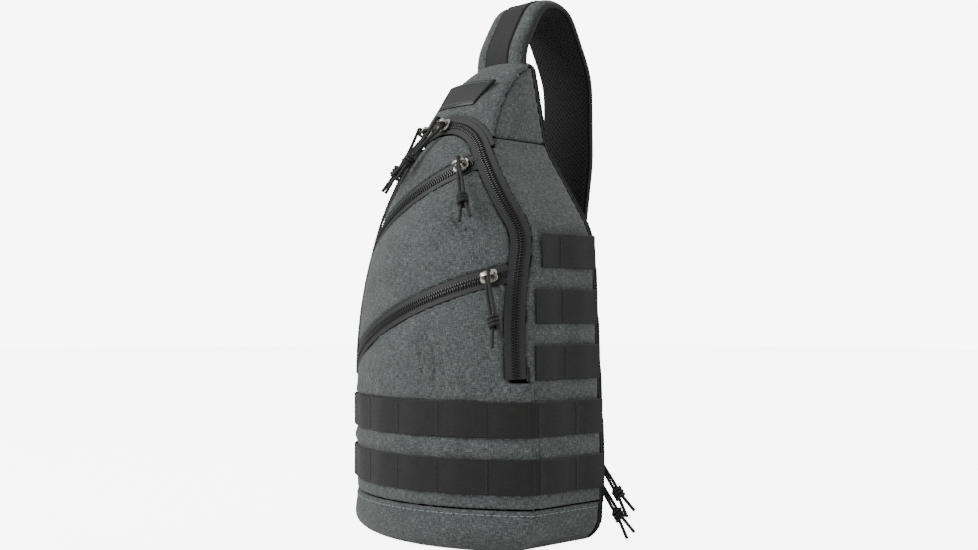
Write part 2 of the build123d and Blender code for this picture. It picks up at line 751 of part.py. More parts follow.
def knot(frame, slant, drop):
    """The knot that joins both strands, with its two cut tails."""
    turn = radians(slant)
    start = frame.from_local_coords(Vector(sin(turn) * PULL_REACH, -cos(turn) * PULL_REACH, BAR_Z - drop))
    away = frame.from_local_coords(Vector(sin(turn), -cos(turn), 0)) - frame.origin
    across = frame.from_local_coords(Vector(cos(turn), sin(turn), 0)) - frame.origin
    top = Plane(origin=start, x_dir=across, z_dir=away)
    with BuildPart() as lump:
        with BuildSketch(top):
            Circle(KNOT_D / 2)
        extrude(amount=KNOT_L)
        fillet(lump.edges().filter_by(GeomType.CIRCLE), 2.5)
        for sign in (-1, 1):
            spread = radians(sign * TAIL_SPREAD)
            tail = Plane(
                origin=start + away * (KNOT_L - 3) + across * (sign * 1.7),
                z_dir=away * cos(spread) + across * sin(spread),
            )
            with BuildSketch(tail):
                Circle(CORD_D / 2)
            extrude(amount=TAIL_L + 3)
    return lump.part


def upright(origin, along, normal):
    """A frame on a zip: x along the teeth, z out of the skin, y across and upward."""
    along = along - normal * (along.dot(normal) / normal.dot(normal))
    frame = Plane(origin=origin, x_dir=along, z_dir=normal)
    if frame.y_dir.Z < 0:
        frame = Plane(origin=origin, x_dir=along * -1, z_dir=normal)
    return frame


def ring_point(plane, radius, angle):
    """The point at an angle of a zip's circle."""
    turn = radians(angle)
    return plane.from_local_coords(Vector(radius * cos(turn), radius * sin(turn), 0))


def on_ring(plane, radius, angle, middle):
    """A frame at an angle of a zip's circle, leaning as the skin does in the middle of the travel."""
    seat = ring_point(plane, radius, middle)
    tip = plane.to_local_coords(seat + front_normal(seat.X, seat.Z))
    swung = tip.rotate(Axis.Z, angle - middle)
    origin = ring_point(plane, radius, angle)
    normal = plane.from_local_coords(swung) - origin
    return upright(origin, plane.z_dir.cross(origin - plane.origin), normal)


CHAIN_R = ARCH_R - ZIP_HALF
ARCH_TOP_Z = ARCH_Z - ARCH_R


def on_arch(angle):
    """The skin at the middle of the main zip, at an angle from the top of the arch (+ to the right)."""
    turn = radians(angle)
    return on_front(CHAIN_R * sin(turn), ARCH_TOP_Z + CHAIN_R * cos(turn))


ARCH_SPREAD = 40.0
arch_points = [on_arch(angle) for angle in (-ARCH_SPREAD, 0, ARCH_SPREAD)]
arch_plane, arch_r, arch_start, arch_end = arc_through(*arch_points)
MAIN_PARKS = {"left": -28.0, "right": -4.0}

frames = {}
for name, park in MAIN_PARKS.items():
    seat = on_arch(park)
    skin = front_normal(seat.X, seat.Z)
    frames[f"main_slider_{name}"] = upright(seat, arch_plane.z_dir.cross(seat - arch_plane.origin), skin)
for pocket, (zip_plane, zip_r, zip_start, zip_end) in POCKET_ZIPS.items():
    ends = sorted((zip_start, zip_end), key=lambda angle: ring_point(zip_plane, zip_r, angle).X)
    park = ends[1] - PARK_MARGIN * (1 if ends[1] > ends[0] else -1)
    frames[f"{pocket}_pocket_slider"] = on_ring(zip_plane, zip_r, park, (ends[0] + ends[1]) / 2)
for name, z in (("lower", 50.0), ("upper", 66.0)):
    frames[f"back_slider_{name}"] = Plane(origin=(BACK_ZIP_X, BACK_Y, z), x_dir=(0, 0, -1), z_dir=(0, 1, 0))

SLANTS = {
    "main_slider_left": -50.0,
    "main_slider_right": -34.0,
    "lower_pocket_slider": 0.0,
    "upper_pocket_slider": 0.0,
    "back_slider_lower": 50.0,
    "back_slider_upper": 50.0,
}

for name, frame in frames.items():
    pull = name.replace("_slider", "_pull")
    slant = SLANTS[name]
    drop = KNOT_DROP.get(name, USUAL_DROP)
    finish(slider_body(frame, lower_half=name.startswith("main")), name)
    strands = [strand(points) for points in cord_points(frame, slant, drop)]
    finish(Compound(children=strands), f"{pull}_cord")
    finish(knot(frame, slant, drop), f"{pull}_knot")
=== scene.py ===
# %% [markdown]
# A one-strap sling bag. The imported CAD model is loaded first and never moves: each visible piece is made in its
# frame, in metres, and rides on one of its bodies. Soft walls are thin closed shells, as sewn laminate is.

# %% Load the frame
import json
import math

import bpy
import numpy as np
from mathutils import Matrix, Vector, noise
from mathutils.bvhtree import BVHTree
from mathutils.kdtree import KDTree


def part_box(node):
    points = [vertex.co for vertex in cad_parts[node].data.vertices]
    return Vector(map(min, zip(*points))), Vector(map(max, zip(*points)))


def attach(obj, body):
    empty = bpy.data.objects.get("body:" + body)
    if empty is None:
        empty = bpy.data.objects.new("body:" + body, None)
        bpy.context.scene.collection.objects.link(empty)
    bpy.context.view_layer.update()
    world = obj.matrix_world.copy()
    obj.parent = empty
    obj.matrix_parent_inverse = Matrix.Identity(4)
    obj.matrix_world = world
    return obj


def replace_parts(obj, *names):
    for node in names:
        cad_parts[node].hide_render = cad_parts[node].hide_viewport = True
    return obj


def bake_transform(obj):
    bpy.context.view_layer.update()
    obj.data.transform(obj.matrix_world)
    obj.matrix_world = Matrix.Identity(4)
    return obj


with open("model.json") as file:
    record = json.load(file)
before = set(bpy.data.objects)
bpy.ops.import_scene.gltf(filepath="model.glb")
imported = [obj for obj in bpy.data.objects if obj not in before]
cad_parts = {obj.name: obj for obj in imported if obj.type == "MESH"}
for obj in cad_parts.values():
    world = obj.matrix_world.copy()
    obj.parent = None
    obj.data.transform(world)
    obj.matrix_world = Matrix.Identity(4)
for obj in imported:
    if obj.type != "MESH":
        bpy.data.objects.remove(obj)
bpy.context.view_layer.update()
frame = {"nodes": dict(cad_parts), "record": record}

MM = 0.001
joints = {joint["name"]: joint for joint in frame["record"]["behaviour"]["joints"]}
bpy.ops.object.select_all(action="DESELECT")

# %% [markdown]
# The camera and the lights come first. The bag is seen from its right front corner, level with its lower half.
# A lens of about 45 mm stands about a metre away, and a small upward shift puts the horizon low without tilting
# the camera, which keeps upright edges upright.

# %% Camera, floor and studio light
CAMERA_AT = Vector((0.694, -0.636, 0.166))
CAMERA_TURN = math.radians(46.0)
camera_data = bpy.data.cameras.new("studio_camera")
camera_data.lens = 44.9
camera_data.sensor_width = 36.0
camera_data.shift_y = 0.046
camera = bpy.data.objects.new("studio_camera", camera_data)
camera.location = CAMERA_AT
camera.rotation_euler = (math.pi / 2, 0, CAMERA_TURN)
bpy.context.collection.objects.link(camera)
bpy.context.scene.camera = camera

bpy.ops.mesh.primitive_plane_add(size=12, location=(0, 0, -0.0006))
floor = bpy.context.object
floor.name = "floor"
bpy.ops.object.select_all(action="DESELECT")


def softbox(name, place, size, power):
    """A square lamp that faces the bag."""
    lamp = bpy.data.lights.new(name, "AREA")
    lamp.size = size
    lamp.energy = power
    holder = bpy.data.objects.new(name, lamp)
    holder.location = place
    holder.rotation_euler = (Vector((0, 0, 0.2)) - Vector(place)).to_track_quat("-Z", "Y").to_euler()
    bpy.context.collection.objects.link(holder)


softbox("key_light", (-0.9, -1.7, 1.5), 1.2, 50)
softbox("fill_light", (2.0, -0.6, 0.9), 1.6, 7)
softbox("rim_light", (0.6, 1.8, 1.6), 1.2, 14)
world = bpy.context.scene.world or bpy.data.worlds.new("studio")
bpy.context.scene.world = world
world.use_nodes = True
sky = world.node_tree.nodes["Background"]
sky.inputs["Color"].default_value = (1, 1, 1, 1)
ray = world.node_tree.nodes.new("ShaderNodeLightPath")
seen = world.node_tree.nodes.new("ShaderNodeMapRange")
seen.inputs["To Min"].default_value = 0.62
seen.inputs["To Max"].default_value = 8.0
world.node_tree.links.new(ray.outputs["Is Camera Ray"], seen.inputs["Value"])
world.node_tree.links.new(seen.outputs["Result"], sky.inputs["Strength"])
print("camera at", tuple(round(c, 3) for c in CAMERA_AT))

# %% [markdown]
# A material here starts from what the real one is. One function turns hex colours to linear light, and one adds a
# node with its settings and links. Patterns are sized in real millimetres: a piece's own UV map is in metres along
# the cloth, and CAD pieces without a UV map use Object coordinates, which are metres too.

# %% Helpers for materials


def colour(code):
    """An sRGB hex value as linear red, green, blue and alpha."""
    channels = [int(code[i:i + 2], 16) / 255 for i in (1, 3, 5)]
    return (*[c / 12.92 if c <= 0.04045 else ((c + 0.055) / 1.055) ** 2.4 for c in channels], 1.0)


def node(material, kind, settings=None, **inputs):
    """Adds a node: settings are its properties, inputs its sockets' values or links."""
    made = material.node_tree.nodes.new(kind)
    for key, value in (settings or {}).items():
        setattr(made, key, value)
    for key, value in inputs.items():
        numbered = key[0] == "i" and key[1:].isdigit()
        socket = made.inputs[int(key[1:]) if numbered else key.replace("_", " ")]
        if isinstance(value, bpy.types.NodeSocket):
            material.node_tree.links.new(value, socket)
        else:
            socket.default_value = value
    return made


def start_material(name, where, stretch=(1, 1, 1), turn=0.0):
    """A new material with its shader, and coordinates in millimetres."""
    material = bpy.data.materials.new(name)
    material.use_nodes = True
    shader = material.node_tree.nodes["Principled BSDF"]
    coordinates = node(material, "ShaderNodeTexCoord").outputs[where]
    scale = tuple(s / MM for s in stretch)
    placed = node(material, "ShaderNodeMapping", Vector=coordinates, Scale=scale, Rotation=(0, 0, turn))
    return material, shader, placed.outputs["Vector"]


def ramp(material, factor, *stops):
    """Colours along a factor: stops are (position, hex)."""
    made = node(material, "ShaderNodeValToRGB", Fac=factor)
    elements = made.color_ramp.elements
    while len(elements) < len(stops):
        elements.new(0.5)
    for element, (position, code) in zip(elements, stops):
        element.position = position
        element.color = colour(code)
    return made.outputs["Color"]


def link(material, socket, target):
    material.node_tree.links.new(socket, target)


# %% [markdown]
# Heather polyester is a plain weave of two-tone yarn. Each yarn changes between light and dark along its length, so
# the cloth shows short streaks along both thread directions. The threads are 0.4 mm apart on the real cloth; they
# are drawn 0.7 mm apart, because finer ones would not show.

# %% Cloth materials
THREAD = 0.7


def weave_height(material, place, pitch):
    """Over and under of two sets of threads, from 0 to 1."""
    waves = []
    for axis in ("X", "Y"):
        wave = node(material, "ShaderNodeTexWave", {"wave_type": "BANDS", "bands_direction": axis},
                    Vector=place, Scale=0.5 / pitch, Distortion=0.6, Detail=1.0)
        waves.append(wave.outputs["Fac"])
    return node(material, "ShaderNodeMath", {"operation": "MULTIPLY"}, i0=waves[0], i1=waves[1]).outputs[0]


def streaks(material, where, along, across, seed):
    """Noise drawn out along the threads: streak length and width in millimetres."""
    coordinates = node(material, "ShaderNodeTexCoord").outputs[where]
    scaled = node(material, "ShaderNodeMapping", Vector=coordinates, Location=(seed, seed, 0),
                  Scale=(1 / (along * MM), 1 / (across * MM), 1 / (across * MM)))
    return node(material, "ShaderNodeTexNoise", Vector=scaled.outputs["Vector"], Scale=1.0, Detail=3.0,
                Roughness=0.6).outputs["Fac"]


def heather(name, dark, middle, light, where="UV"):
    """Two-tone woven polyester: matt, with a little fuzz that catches light at its edges."""
    material, shader, place = start_material(name, where)
    weft = streaks(material, where, 4.2, 0.6, 0.0)
    warp = streaks(material, where, 0.6, 3.6, 3.0)
    blotch = streaks(material, where, 20.0, 16.0, 7.0)
    both = node(material, "ShaderNodeMath", {"operation": "ADD"}, i0=weft, i1=warp).outputs[0]
    both = node(material, "ShaderNodeMath", {"operation": "MULTIPLY_ADD"}, i0=blotch, i1=0.25, i2=both).outputs[0]
    tone = node(material, "ShaderNodeMapRange", Value=both, **{"From_Min": 0.86, "From_Max": 1.42}).outputs[0]
    link(material, ramp(material, tone, (0.0, dark), (0.5, middle), (1.0, light)), shader.inputs["Base Color"])
    height = weave_height(material, place, THREAD)
    bump = node(material, "ShaderNodeBump", Height=height, Strength=0.35, Distance=0.25 * MM)
    link(material, bump.outputs["Normal"], shader.inputs["Normal"])
    shader.inputs["Roughness"].default_value = 0.92
    shader.inputs["Specular IOR Level"].default_value = 0.25
    shader.inputs["Sheen Weight"].default_value = 0.12
    return material


# Flat nylon webbing: close ribs along its length, a faint satin from the filament yarn.
def ribbed_webbing(name, where="UV"):
    material, shader, place = start_material(name, where)
    ribs = node(material, "ShaderNodeTexWave", {"bands_direction": "Y"}, Vector=place, Scale=0.22, Distortion=0.3)
    picks = node(material, "ShaderNodeTexWave", {"bands_direction": "X"}, Vector=place, Scale=0.32, Distortion=0.6)
    height = node(material, "ShaderNodeMath", {"operation": "MULTIPLY_ADD"}, i0=picks.outputs["Fac"], i1=0.5,
                  i2=ribs.outputs["Fac"]).outputs[0]
    wear = node(material, "ShaderNodeTexNoise", Vector=place, Scale=0.09, Detail=4.0)
    tone = ramp(material, wear.outputs["Fac"], (0.3, "#090808"), (0.75, "#141211"))
    link(material, tone, shader.inputs["Base Color"])
    bump = node(material, "ShaderNodeBump", Height=height, Strength=0.5, Distance=0.3 * MM)
    link(material, bump.outputs["Normal"], shader.inputs["Normal"])
    shader.inputs["Roughness"].default_value = 0.68
    shader.inputs["Specular IOR Level"].default_value = 0.35
    shader.inputs["Sheen Weight"].default_value = 0.08
    return material


# Spacer air mesh: knitted hexagonal holes about 3 mm apart over a dark core.
def air_mesh(name, where="UV"):
    material, shader, place = start_material(name, where, turn=0.785)
    cells = node(material, "ShaderNodeTexVoronoi", {"feature": "DISTANCE_TO_EDGE"}, Vector=place, Scale=0.34,
                 Randomness=0.12)
    link(material, ramp(material, cells.outputs["Distance"], (0.06, "#262525"), (0.3, "#070707")),
         shader.inputs["Base Color"])
    sunk = node(material, "ShaderNodeMapRange", Value=cells.outputs["Distance"],
                **{"From_Max": 0.35, "To_Min": 1.0, "To_Max": 0.0})
    bump = node(material, "ShaderNodeBump", Height=sunk.outputs[0], Strength=0.9, Distance=0.9 * MM)
    link(material, bump.outputs["Normal"], shader.inputs["Normal"])
    shader.inputs["Roughness"].default_value = 0.85
    shader.inputs["Specular IOR Level"].default_value = 0.3
    return material


# Plain dark materials: zip tape, coil, thread, cord, moulded plastic and board differ in gloss and in grain.
def dark_material(name, low, high, rough, grain, depth, where="UV", stretch=(1, 1, 1)):
    material, shader, place = start_material(name, where, stretch)
    speckle = node(material, "ShaderNodeTexNoise", Vector=place, Scale=1 / grain, Detail=3.0)
    link(material, ramp(material, speckle.outputs["Fac"], (0.35, low), (0.7, high)), shader.inputs["Base Color"])
    bump = node(material, "ShaderNodeBump", Height=speckle.outputs["Fac"], Strength=0.4, Distance=depth * MM)
    link(material, bump.outputs["Normal"], shader.inputs["Normal"])
    shader.inputs["Roughness"].default_value = rough
    return material


def satin_nickel(name):
    """Tumbled and nickel-plated zinc: a soft mirror with fine scratches."""
    material, shader, place = start_material(name, "Object")
    scratch = node(material, "ShaderNodeTexNoise", Vector=place, Scale=1.5, Detail=6.0)
    tone = ramp(material, scratch.outputs["Fac"], (0.3, "#9b9893"), (0.7, "#c9c5be"))
    link(material, tone, shader.inputs["Base Color"])
    rough = node(material, "ShaderNodeMapRange", Value=scratch.outputs["Fac"], **{"To_Min": 0.16, "To_Max": 0.42})
    link(material, rough.outputs[0], shader.inputs["Roughness"])
    shader.inputs["Metallic"].default_value = 1.0
    return material


HEATHER = heather("woven_heather_polyester", "#2a2c2c", "#4a4d4d", "#727574")
WEBBING = ribbed_webbing("ribbed_nylon_webbing")
MESH = air_mesh("knitted_air_mesh")
TAPE = dark_material("woven_zip_tape", "#0d0d0e", "#191919", 0.62, 1.1, 0.12)
COIL = dark_material("moulded_zip_coil", "#0b0b0c", "#161616", 0.38, 0.8, 0.03)
THREAD_BLACK = dark_material("bonded_black_thread", "#0c0c0c", "#181818", 0.5, 0.5, 0.05)
THREAD_GREY = dark_material("bonded_grey_thread", "#70787a", "#8b9293", 0.6, 0.5, 0.05)
THREAD_DIM = dark_material("bonded_slate_thread", "#43484a", "#595f61", 0.6, 0.5, 0.05)
CORD = dark_material("braided_black_cord", "#0a0a0a", "#1b1a1a", 0.7, 0.7, 0.3)
BINDING = dark_material("black_binding_tape", "#111112", "#1c1c1c", 0.75, 0.9, 0.15)
PLASTIC = dark_material("moulded_acetal", "#0f0f10", "#171718", 0.42, 0.6, 0.02, "Object")
BOARD = dark_material("pressed_board", "#141414", "#202020", 0.8, 1.2, 0.1, "Object")
LINING = dark_material("dark_lining_cloth", "#1b1c1e", "#27292b", 0.85, 0.9, 0.08, "Object")
PATCH = dark_material("moulded_rubber_patch", "#0e0e0e", "#161515", 0.5, 0.9, 0.05, "Object")
NICKEL = satin_nickel("satin_nickel")
FLOOR = dark_material("seamless_paper", "#f2f2f1", "#f6f6f5", 0.9, 40.0, 0.01, "Object")
floor_shader = FLOOR.node_tree.nodes["Principled BSDF"]
floor_shader.inputs["Emission Color"].default_value = (1, 1, 1, 1)
seen = node(FLOOR, "ShaderNodeLightPath").outputs["Is Camera Ray"]
glow = node(FLOOR, "ShaderNodeMath", {"operation": "MULTIPLY"}, i0=seen, i1=6.5).outputs[0]
link(FLOOR, glow, floor_shader.inputs["Emission Strength"])
floor.data.materials.append(FLOOR)
print("materials:", len(bpy.data.materials))

# %% [markdown]
# The bag's own form is worked out once. The front is a bulge with a round plan that leans back above the hinge line;
# the sides follow an outline that narrows to the yoke. Zips, webbing and stitches are all laid on this form.

# %% The form of the bag, in millimetres
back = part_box("back_cover")
BACK_Y = back[1][1] / MM
HEIGHT = back[1][2] / MM
HINGE_Z = round(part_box("lower_front_panel")[1][2] / MM)
BOOT_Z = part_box("boot")[1][2] / MM
FRONT_R = 141.0
AXIS_Y = FRONT_R - BACK_Y
ARCH_Z = 321.5
ARCH_SETBACK = 54.5
OUTLINE = [(97, 0), (101, 60), (91, 230), (43, 300), (28, 369)]
OUTLINE_RADII = [200, 60, 50]
lean_end = 2 * math.atan2(ARCH_SETBACK, ARCH_Z - HINGE_Z)
PROFILE_R = (ARCH_Z - HINGE_Z) / math.sin(lean_end)


def plan_r(z):
    """Plan radius of the front at a level."""
    climb = max(0.0, z - HINGE_Z)
    return FRONT_R - (PROFILE_R - math.sqrt(PROFILE_R**2 - climb**2))


def skin(x, z):
    """The point of the front straight behind (x, z)."""
    return Vector((x, AXIS_Y - math.sqrt(max(1.0, plan_r(z) ** 2 - x**2)), z))


def skin_normal(x, z):
    """The outward direction of the front at (x, z)."""
    lean = math.asin(max(0.0, z - HINGE_Z) / PROFILE_R)
    turn = math.asin(max(-1.0, min(1.0, x / plan_r(z))))
    return Vector((math.sin(turn) * math.cos(lean), -math.cos(turn) * math.cos(lean), math.sin(lean)))


def half_width(z):
    """Half width of the bag at a level."""
    return float(np.interp(z, [p[1] for p in OUTLINE], [p[0] for p in OUTLINE]))


def rounded(points, radii, step=1.5):
    """Evenly spaced points along a line whose inner corners are rounded to the given radii."""
    line = [Vector(points[0])]
    for before, here, after, radius in zip(points, points[1:], points[2:], radii):
        a, b, c = Vector(before), Vector(here), Vector(after)
        into, out = (b - a).normalized(), (c - b).normalized()
        turn = into.angle(out)
        reach = radius * math.tan(turn / 2)
        for i in range(13):
            t = i / 12
            p, q, r = b - into * reach, b, b + out * reach
            weight = math.cos(turn / 2)
            k = (1 - t) ** 2 + 2 * t * (1 - t) * weight + t**2
            line.append((p * (1 - t) ** 2 + q * (2 * t * (1 - t) * weight) + r * t**2) / k)
    line.append(Vector(points[-1]))
    return resample(line, step)


def resample(line, step):
    """The same line with a point every step."""
    lengths = np.cumsum([0.0] + [(b - a).length for a, b in zip(line, line[1:])])
    count = max(2, int(round(lengths[-1] / step)) + 1)
    places = np.linspace(0, lengths[-1], count)
    columns = [np.interp(places, lengths, [p[i] for p in line]) for i in range(len(line[0]))]
    return [Vector(c) for c in zip(*columns)]


def arch_line(inset, low=None):
    """(x, z) points along the arch, set in from its edge, from the left end over the top to the right end."""
    slope = (OUTLINE[2][0] - OUTLINE[3][0]) / (OUTLINE[3][1] - OUTLINE[2][1])
    shoulder = OUTLINE[2][0] - slope * (ARCH_Z - OUTLINE[2][1])
    low = HINGE_Z + 0.3 if low is None else low
    half = rounded([(OUTLINE[1][0], 40), OUTLINE[1], OUTLINE[2], (shoulder, ARCH_Z), (0, ARCH_Z)],
                   [OUTLINE_RADII[0], OUTLINE_RADII[1], 53], 1.0)
    moved = []
    for a, b in zip(half, half[1:]):
        along = (b - a).normalized()
        moved.append((a + b) / 2 + Vector((-along.y, along.x)) * inset)
    moved = [p for p in moved if p.y >= low and p.x > 0.3]
    return [Vector((-p.x, p.y)) for p in moved] + [Vector((0, ARCH_Z - inset))] + moved[::-1]


print("form: hinge at", HINGE_Z, "mm, height", round(HEIGHT), "mm")

# %% [markdown]
# Long pieces, such as webbing, zip tape and the strap, are one section carried along a line. The first maker below
# joins the sections into a closed skin with a UV map in metres: along the piece and round it.

# %% Makers of long pieces


def finish_piece(name, verts, faces, uvs, material, body, smooth=40):
    """A mesh object from vertices in millimetres, with its UVs, finish and body."""
    mesh = bpy.data.meshes.new(name)
    mesh.from_pydata([tuple(c * MM for c in v) for v in verts], [], faces)
    if uvs:
        layer = mesh.uv_layers.new(name="cloth")
        flat = [uvs[i] for face in faces for i in face] if isinstance(uvs, list) else uvs
        layer.data.foreach_set("uv", [c * MM for uv in flat for c in uv])
    mesh.validate()
    made = bpy.data.objects.new(name, mesh)
    bpy.context.collection.objects.link(made)
    for one in material if isinstance(material, (list, tuple)) else [material]:
        mesh.materials.append(one)
    bpy.context.view_layer.objects.active = made
    made.select_set(True)
    bpy.ops.object.mode_set(mode="EDIT")
    bpy.ops.mesh.select_all(action="SELECT")
    bpy.ops.mesh.normals_make_consistent(inside=False)
    bpy.ops.object.mode_set(mode="OBJECT")
    bpy.ops.object.shade_smooth_by_angle(angle=math.radians(smooth))
    made.select_set(False)
    if body:
        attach(made, body)
    return made


def skin_over(sections, lengths):
    """Vertices, faces and UVs of a tube through rings of points."""
    ring = len(sections[0])
    verts = [p for section in sections for p in section]
    around = np.cumsum([0.0] + [(b - a).length for a, b in zip(sections[0], sections[0][1:])])
    uvs = [(lengths[i], around[j]) for i in range(len(sections)) for j in range(ring)]
    faces = []
    for i in range(len(sections) - 1):
        for j in range(ring):
            k = (j + 1) % ring
            faces.append((i * ring + j, i * ring + k, (i + 1) * ring + k, (i + 1) * ring + j))
    faces.append(tuple(range(ring)))
    faces.append(tuple((len(sections) - 1) * ring + j for j in range(ring)))
    return verts, faces, uvs


def frames_along(line, outs):
    """For each point of a line: the point, the way across and the way out."""
    made = []
    for i, here in enumerate(line):
        along = (line[min(i + 1, len(line) - 1)] - line[max(i - 1, 0)]).normalized()
        out = (outs[i] - along * outs[i].dot(along)).normalized()
        made.append((here, out.cross(along), out))
    return made


def flat_section(width, thick, edge=None, rows=6):
    """A flat strip's section with rounded edges, as (across, out) pairs from its underside."""
    edge = min(thick / 2, edge or thick / 2)
    half = width / 2
    low = [(-half + edge + (width - 2 * edge) * i / rows, 0.0) for i in range(rows + 1)]
    high = [(x, thick) for x, _ in reversed(low)]
    return low + [(half, thick / 2)] + high + [(-half, thick / 2)]


def strip(name, frames, section, material, body, lifts=None):
    """A section carried along frames, raised by lifts."""
    lengths = np.cumsum([0.0] + [(b[0] - a[0]).length for a, b in zip(frames, frames[1:])])
    lifts = lifts or [0.0] * len(frames)
    rings = [[p + across * a + out * (b + lift) for a, b in section] for (p, across, out), lift in zip(frames, lifts)]
    return finish_piece(name, *skin_over(rings, lengths), material, body)


def many(name, frames, shape, faces, material, body):
    """One small shape repeated at each frame and joined into one mesh: shape is (along, across, out)."""
    verts, all_faces = [], []
    for p, across, out in frames:
        along = across.cross(out)
        start = len(verts)
        verts += [p + along * x + across * y + out * z for x, y, z in shape]
        all_faces += [tuple(start + i for i in face) for face in faces]
    uvs = [(v[0] + v[1], v[2]) for v in verts]
    return finish_piece(name, verts, all_faces, uvs, material, body)


def pill(length, width, height, sides=6):
    """A small rounded bar along the first axis: a tooth or a stitch."""
    shape = []
    for x, grow in ((-0.5, 0.35), (-0.3, 1.0), (0.3, 1.0), (0.5, 0.35)):
        for j in range(sides):
            turn = 2 * math.pi * j / sides
            shape.append((x * length, math.cos(turn) * width / 2 * grow, math.sin(turn) * height / 2 * grow))
    faces = [(i * sides + j, i * sides + (j + 1) % sides, (i + 1) * sides + (j + 1) % sides, (i + 1) * sides + j)
             for i in range(3) for j in range(sides)]
    faces += [tuple(range(sides)), tuple(3 * sides + j for j in range(sides))]
    return shape, faces


STITCH_SHAPE, STITCH_FACES = pill(3.0, 0.75, 0.7)


def stitches(name, line, outs, body, material=THREAD_GREY, lift=0.25, pitch=4.0):
    """A row of lockstitches along a line on the cloth."""
    lengths = np.cumsum([0.0] + [(b - a).length for a, b in zip(line, line[1:])])
    places = np.arange(pitch / 2, lengths[-1], pitch)
    frames = frames_along(line, outs)
    picked = []
    for place in places:
        p, across, out = frames[int(np.searchsorted(lengths, place))]
        picked.append((p + out * lift, across, out))
    return many(name, picked, STITCH_SHAPE, STITCH_FACES, material, body)


# %% [markdown]
# A sewn wall is the CAD wall's own mesh, remeshed to even cells, which rounds its cut edges as a turned seam does.
# Its outer face is then pushed out between the seams, more the further it is from one, and given slow dents, so
# that it reads as filled cloth and not as board. The mesh is wrapped with UVs by the way each face looks.

# %% Makers of sewn walls
WALL_VOXEL = 2.2


def wrap(piece):
    """UVs in metres: the front by its plan and height, the sides by depth and height, the floor flat."""
    mesh = piece.data
    layer = mesh.uv_layers.new(name="cloth") if not mesh.uv_layers else mesh.uv_layers[0]
    for face in mesh.polygons:
        n = face.normal
        for loop in face.loop_indices:
            x, y, z = mesh.vertices[mesh.loops[loop].vertex_index].co
            if abs(n.z) > 0.8:
                layer.data[loop].uv = (x, y)
            elif abs(n.x) > 0.75:
                layer.data[loop].uv = (y, z)
            else:
                layer.data[loop].uv = (x * 1.12, z)
    mesh.shade_smooth()


def wall(name, nodes, body, material, puff=2.0, reach=16.0, dents=0.7, still=None, voxel=WALL_VOXEL, extra=None,
         also=()):
    """A sewn wall from CAD nodes. still(point) scales the swelling; extra(point) adds to it, in millimetres."""
    copies = list(also)
    for part in nodes:
        copied = frame["nodes"][part].copy()
        copied.data = copied.data.copy()
        copied.parent = None
        bpy.context.collection.objects.link(copied)
        copies.append(copied)
    bpy.ops.object.select_all(action="DESELECT")
    for copied in copies:
        copied.select_set(True)
    bpy.context.view_layer.objects.active = copies[0]
    if len(copies) > 1:
        bpy.ops.object.join()
    made = bpy.context.view_layer.objects.active
    made.name = name
    for key in list(made.keys()):
        del made[key]
    made.data.materials.clear()
    bpy.ops.object.mode_set(mode="EDIT")
    bpy.ops.mesh.select_all(action="SELECT")
    bpy.ops.mesh.remove_doubles(threshold=1e-6)
    bpy.ops.object.mode_set(mode="OBJECT")
    remesh = made.modifiers.new("even_cells", "REMESH")
    remesh.mode = "VOXEL"
    remesh.voxel_size = voxel * MM
    bpy.ops.object.modifier_apply(modifier=remesh.name)
    relax = made.modifiers.new("relax", "SMOOTH")
    relax.factor = 0.5
    relax.iterations = 3
    bpy.ops.object.modifier_apply(modifier=relax.name)
    points = made.data.vertices
    outer, rim = [], []
    for v in points:
        p, n = v.co / MM, v.normal
        away = Vector((p.x, p.y - 10, (p.z - 120) * 0.12)).normalized()
        front = p.y < 40 and abs(p.x) < half_width(p.z) - 5
        target = skin_normal(p.x, p.z) if front and p.z > 16 else away
        facing = n.dot(target)
        if facing > 0.55:
            outer.append((v, target))
        elif facing > -0.35:
            rim.append(v)
    tree = KDTree(max(1, len(rim)))
    for i, v in enumerate(rim):
        tree.insert(v.co, i)
    tree.balance()
    for v, target in outer:
        gap = tree.find(v.co)[2] / MM if rim else reach
        share = 1 - math.exp(-((gap / reach) ** 2))
        p = v.co / MM
        hold = still(p) if still else 1.0
        dent = noise.noise(p * 0.021) * dents + noise.noise(p * 0.06 + Vector((9, 0, 0))) * dents * 0.35
        more = extra(p) if extra else 0.0
        v.co += v.normal * ((puff * share + dent * share) * hold + more) * MM
        v.co.z = max(v.co.z, 0.0)
    wrap(made)
    made.data.materials.append(material)
    made.select_set(False)
    if body:
        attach(made, body)
    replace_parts(made, *nodes)
    print(name, "cells:", len(made.data.polygons))
    return made


def under_webbing(p):
    """0 beneath a row of webbing, 1 well away from it."""
    gap = min(abs(p.z - row) for row in WEBBING_ROWS) - 12.7
    return max(0.0, min(1.0, (gap - 1.0) / 5.0))


WEBBING_ROWS = [(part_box(n)[0][2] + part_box(n)[1][2]) / 2 / MM
                for n in ("webbing_row_lower", "webbing_row_upper", "side_webbing_right_1", "side_webbing_right_2",
                          "side_webbing_right_3")]
FRONT_ROWS = WEBBING_ROWS[:2]
print("webbing rows at", [round(z) for z in WEBBING_ROWS])


def front_still(p):
    """The front swells less under its two rows of webbing."""
    gap = min(abs(p.z - row) for row in FRONT_ROWS) - 12.7
    return max(0.0, min(1.0, (gap - 1.0) / 5.0))


def crease(p, start, end, width, depth):
    """A soft fold along a line in the front view."""
    a, b, q = Vector((start[0], start[1])), Vector((end[0], end[1])), Vector((p.x, p.z))
    t = max(0.0, min(1.0, (q - a).dot(b - a) / (b - a).length_squared))
    gap = (q - (a + (b - a) * t)).length
    return -depth * math.exp(-((gap / width) ** 2)) * math.sin(math.pi * min(1.0, max(0.0, t * 0.9 + 0.05)))


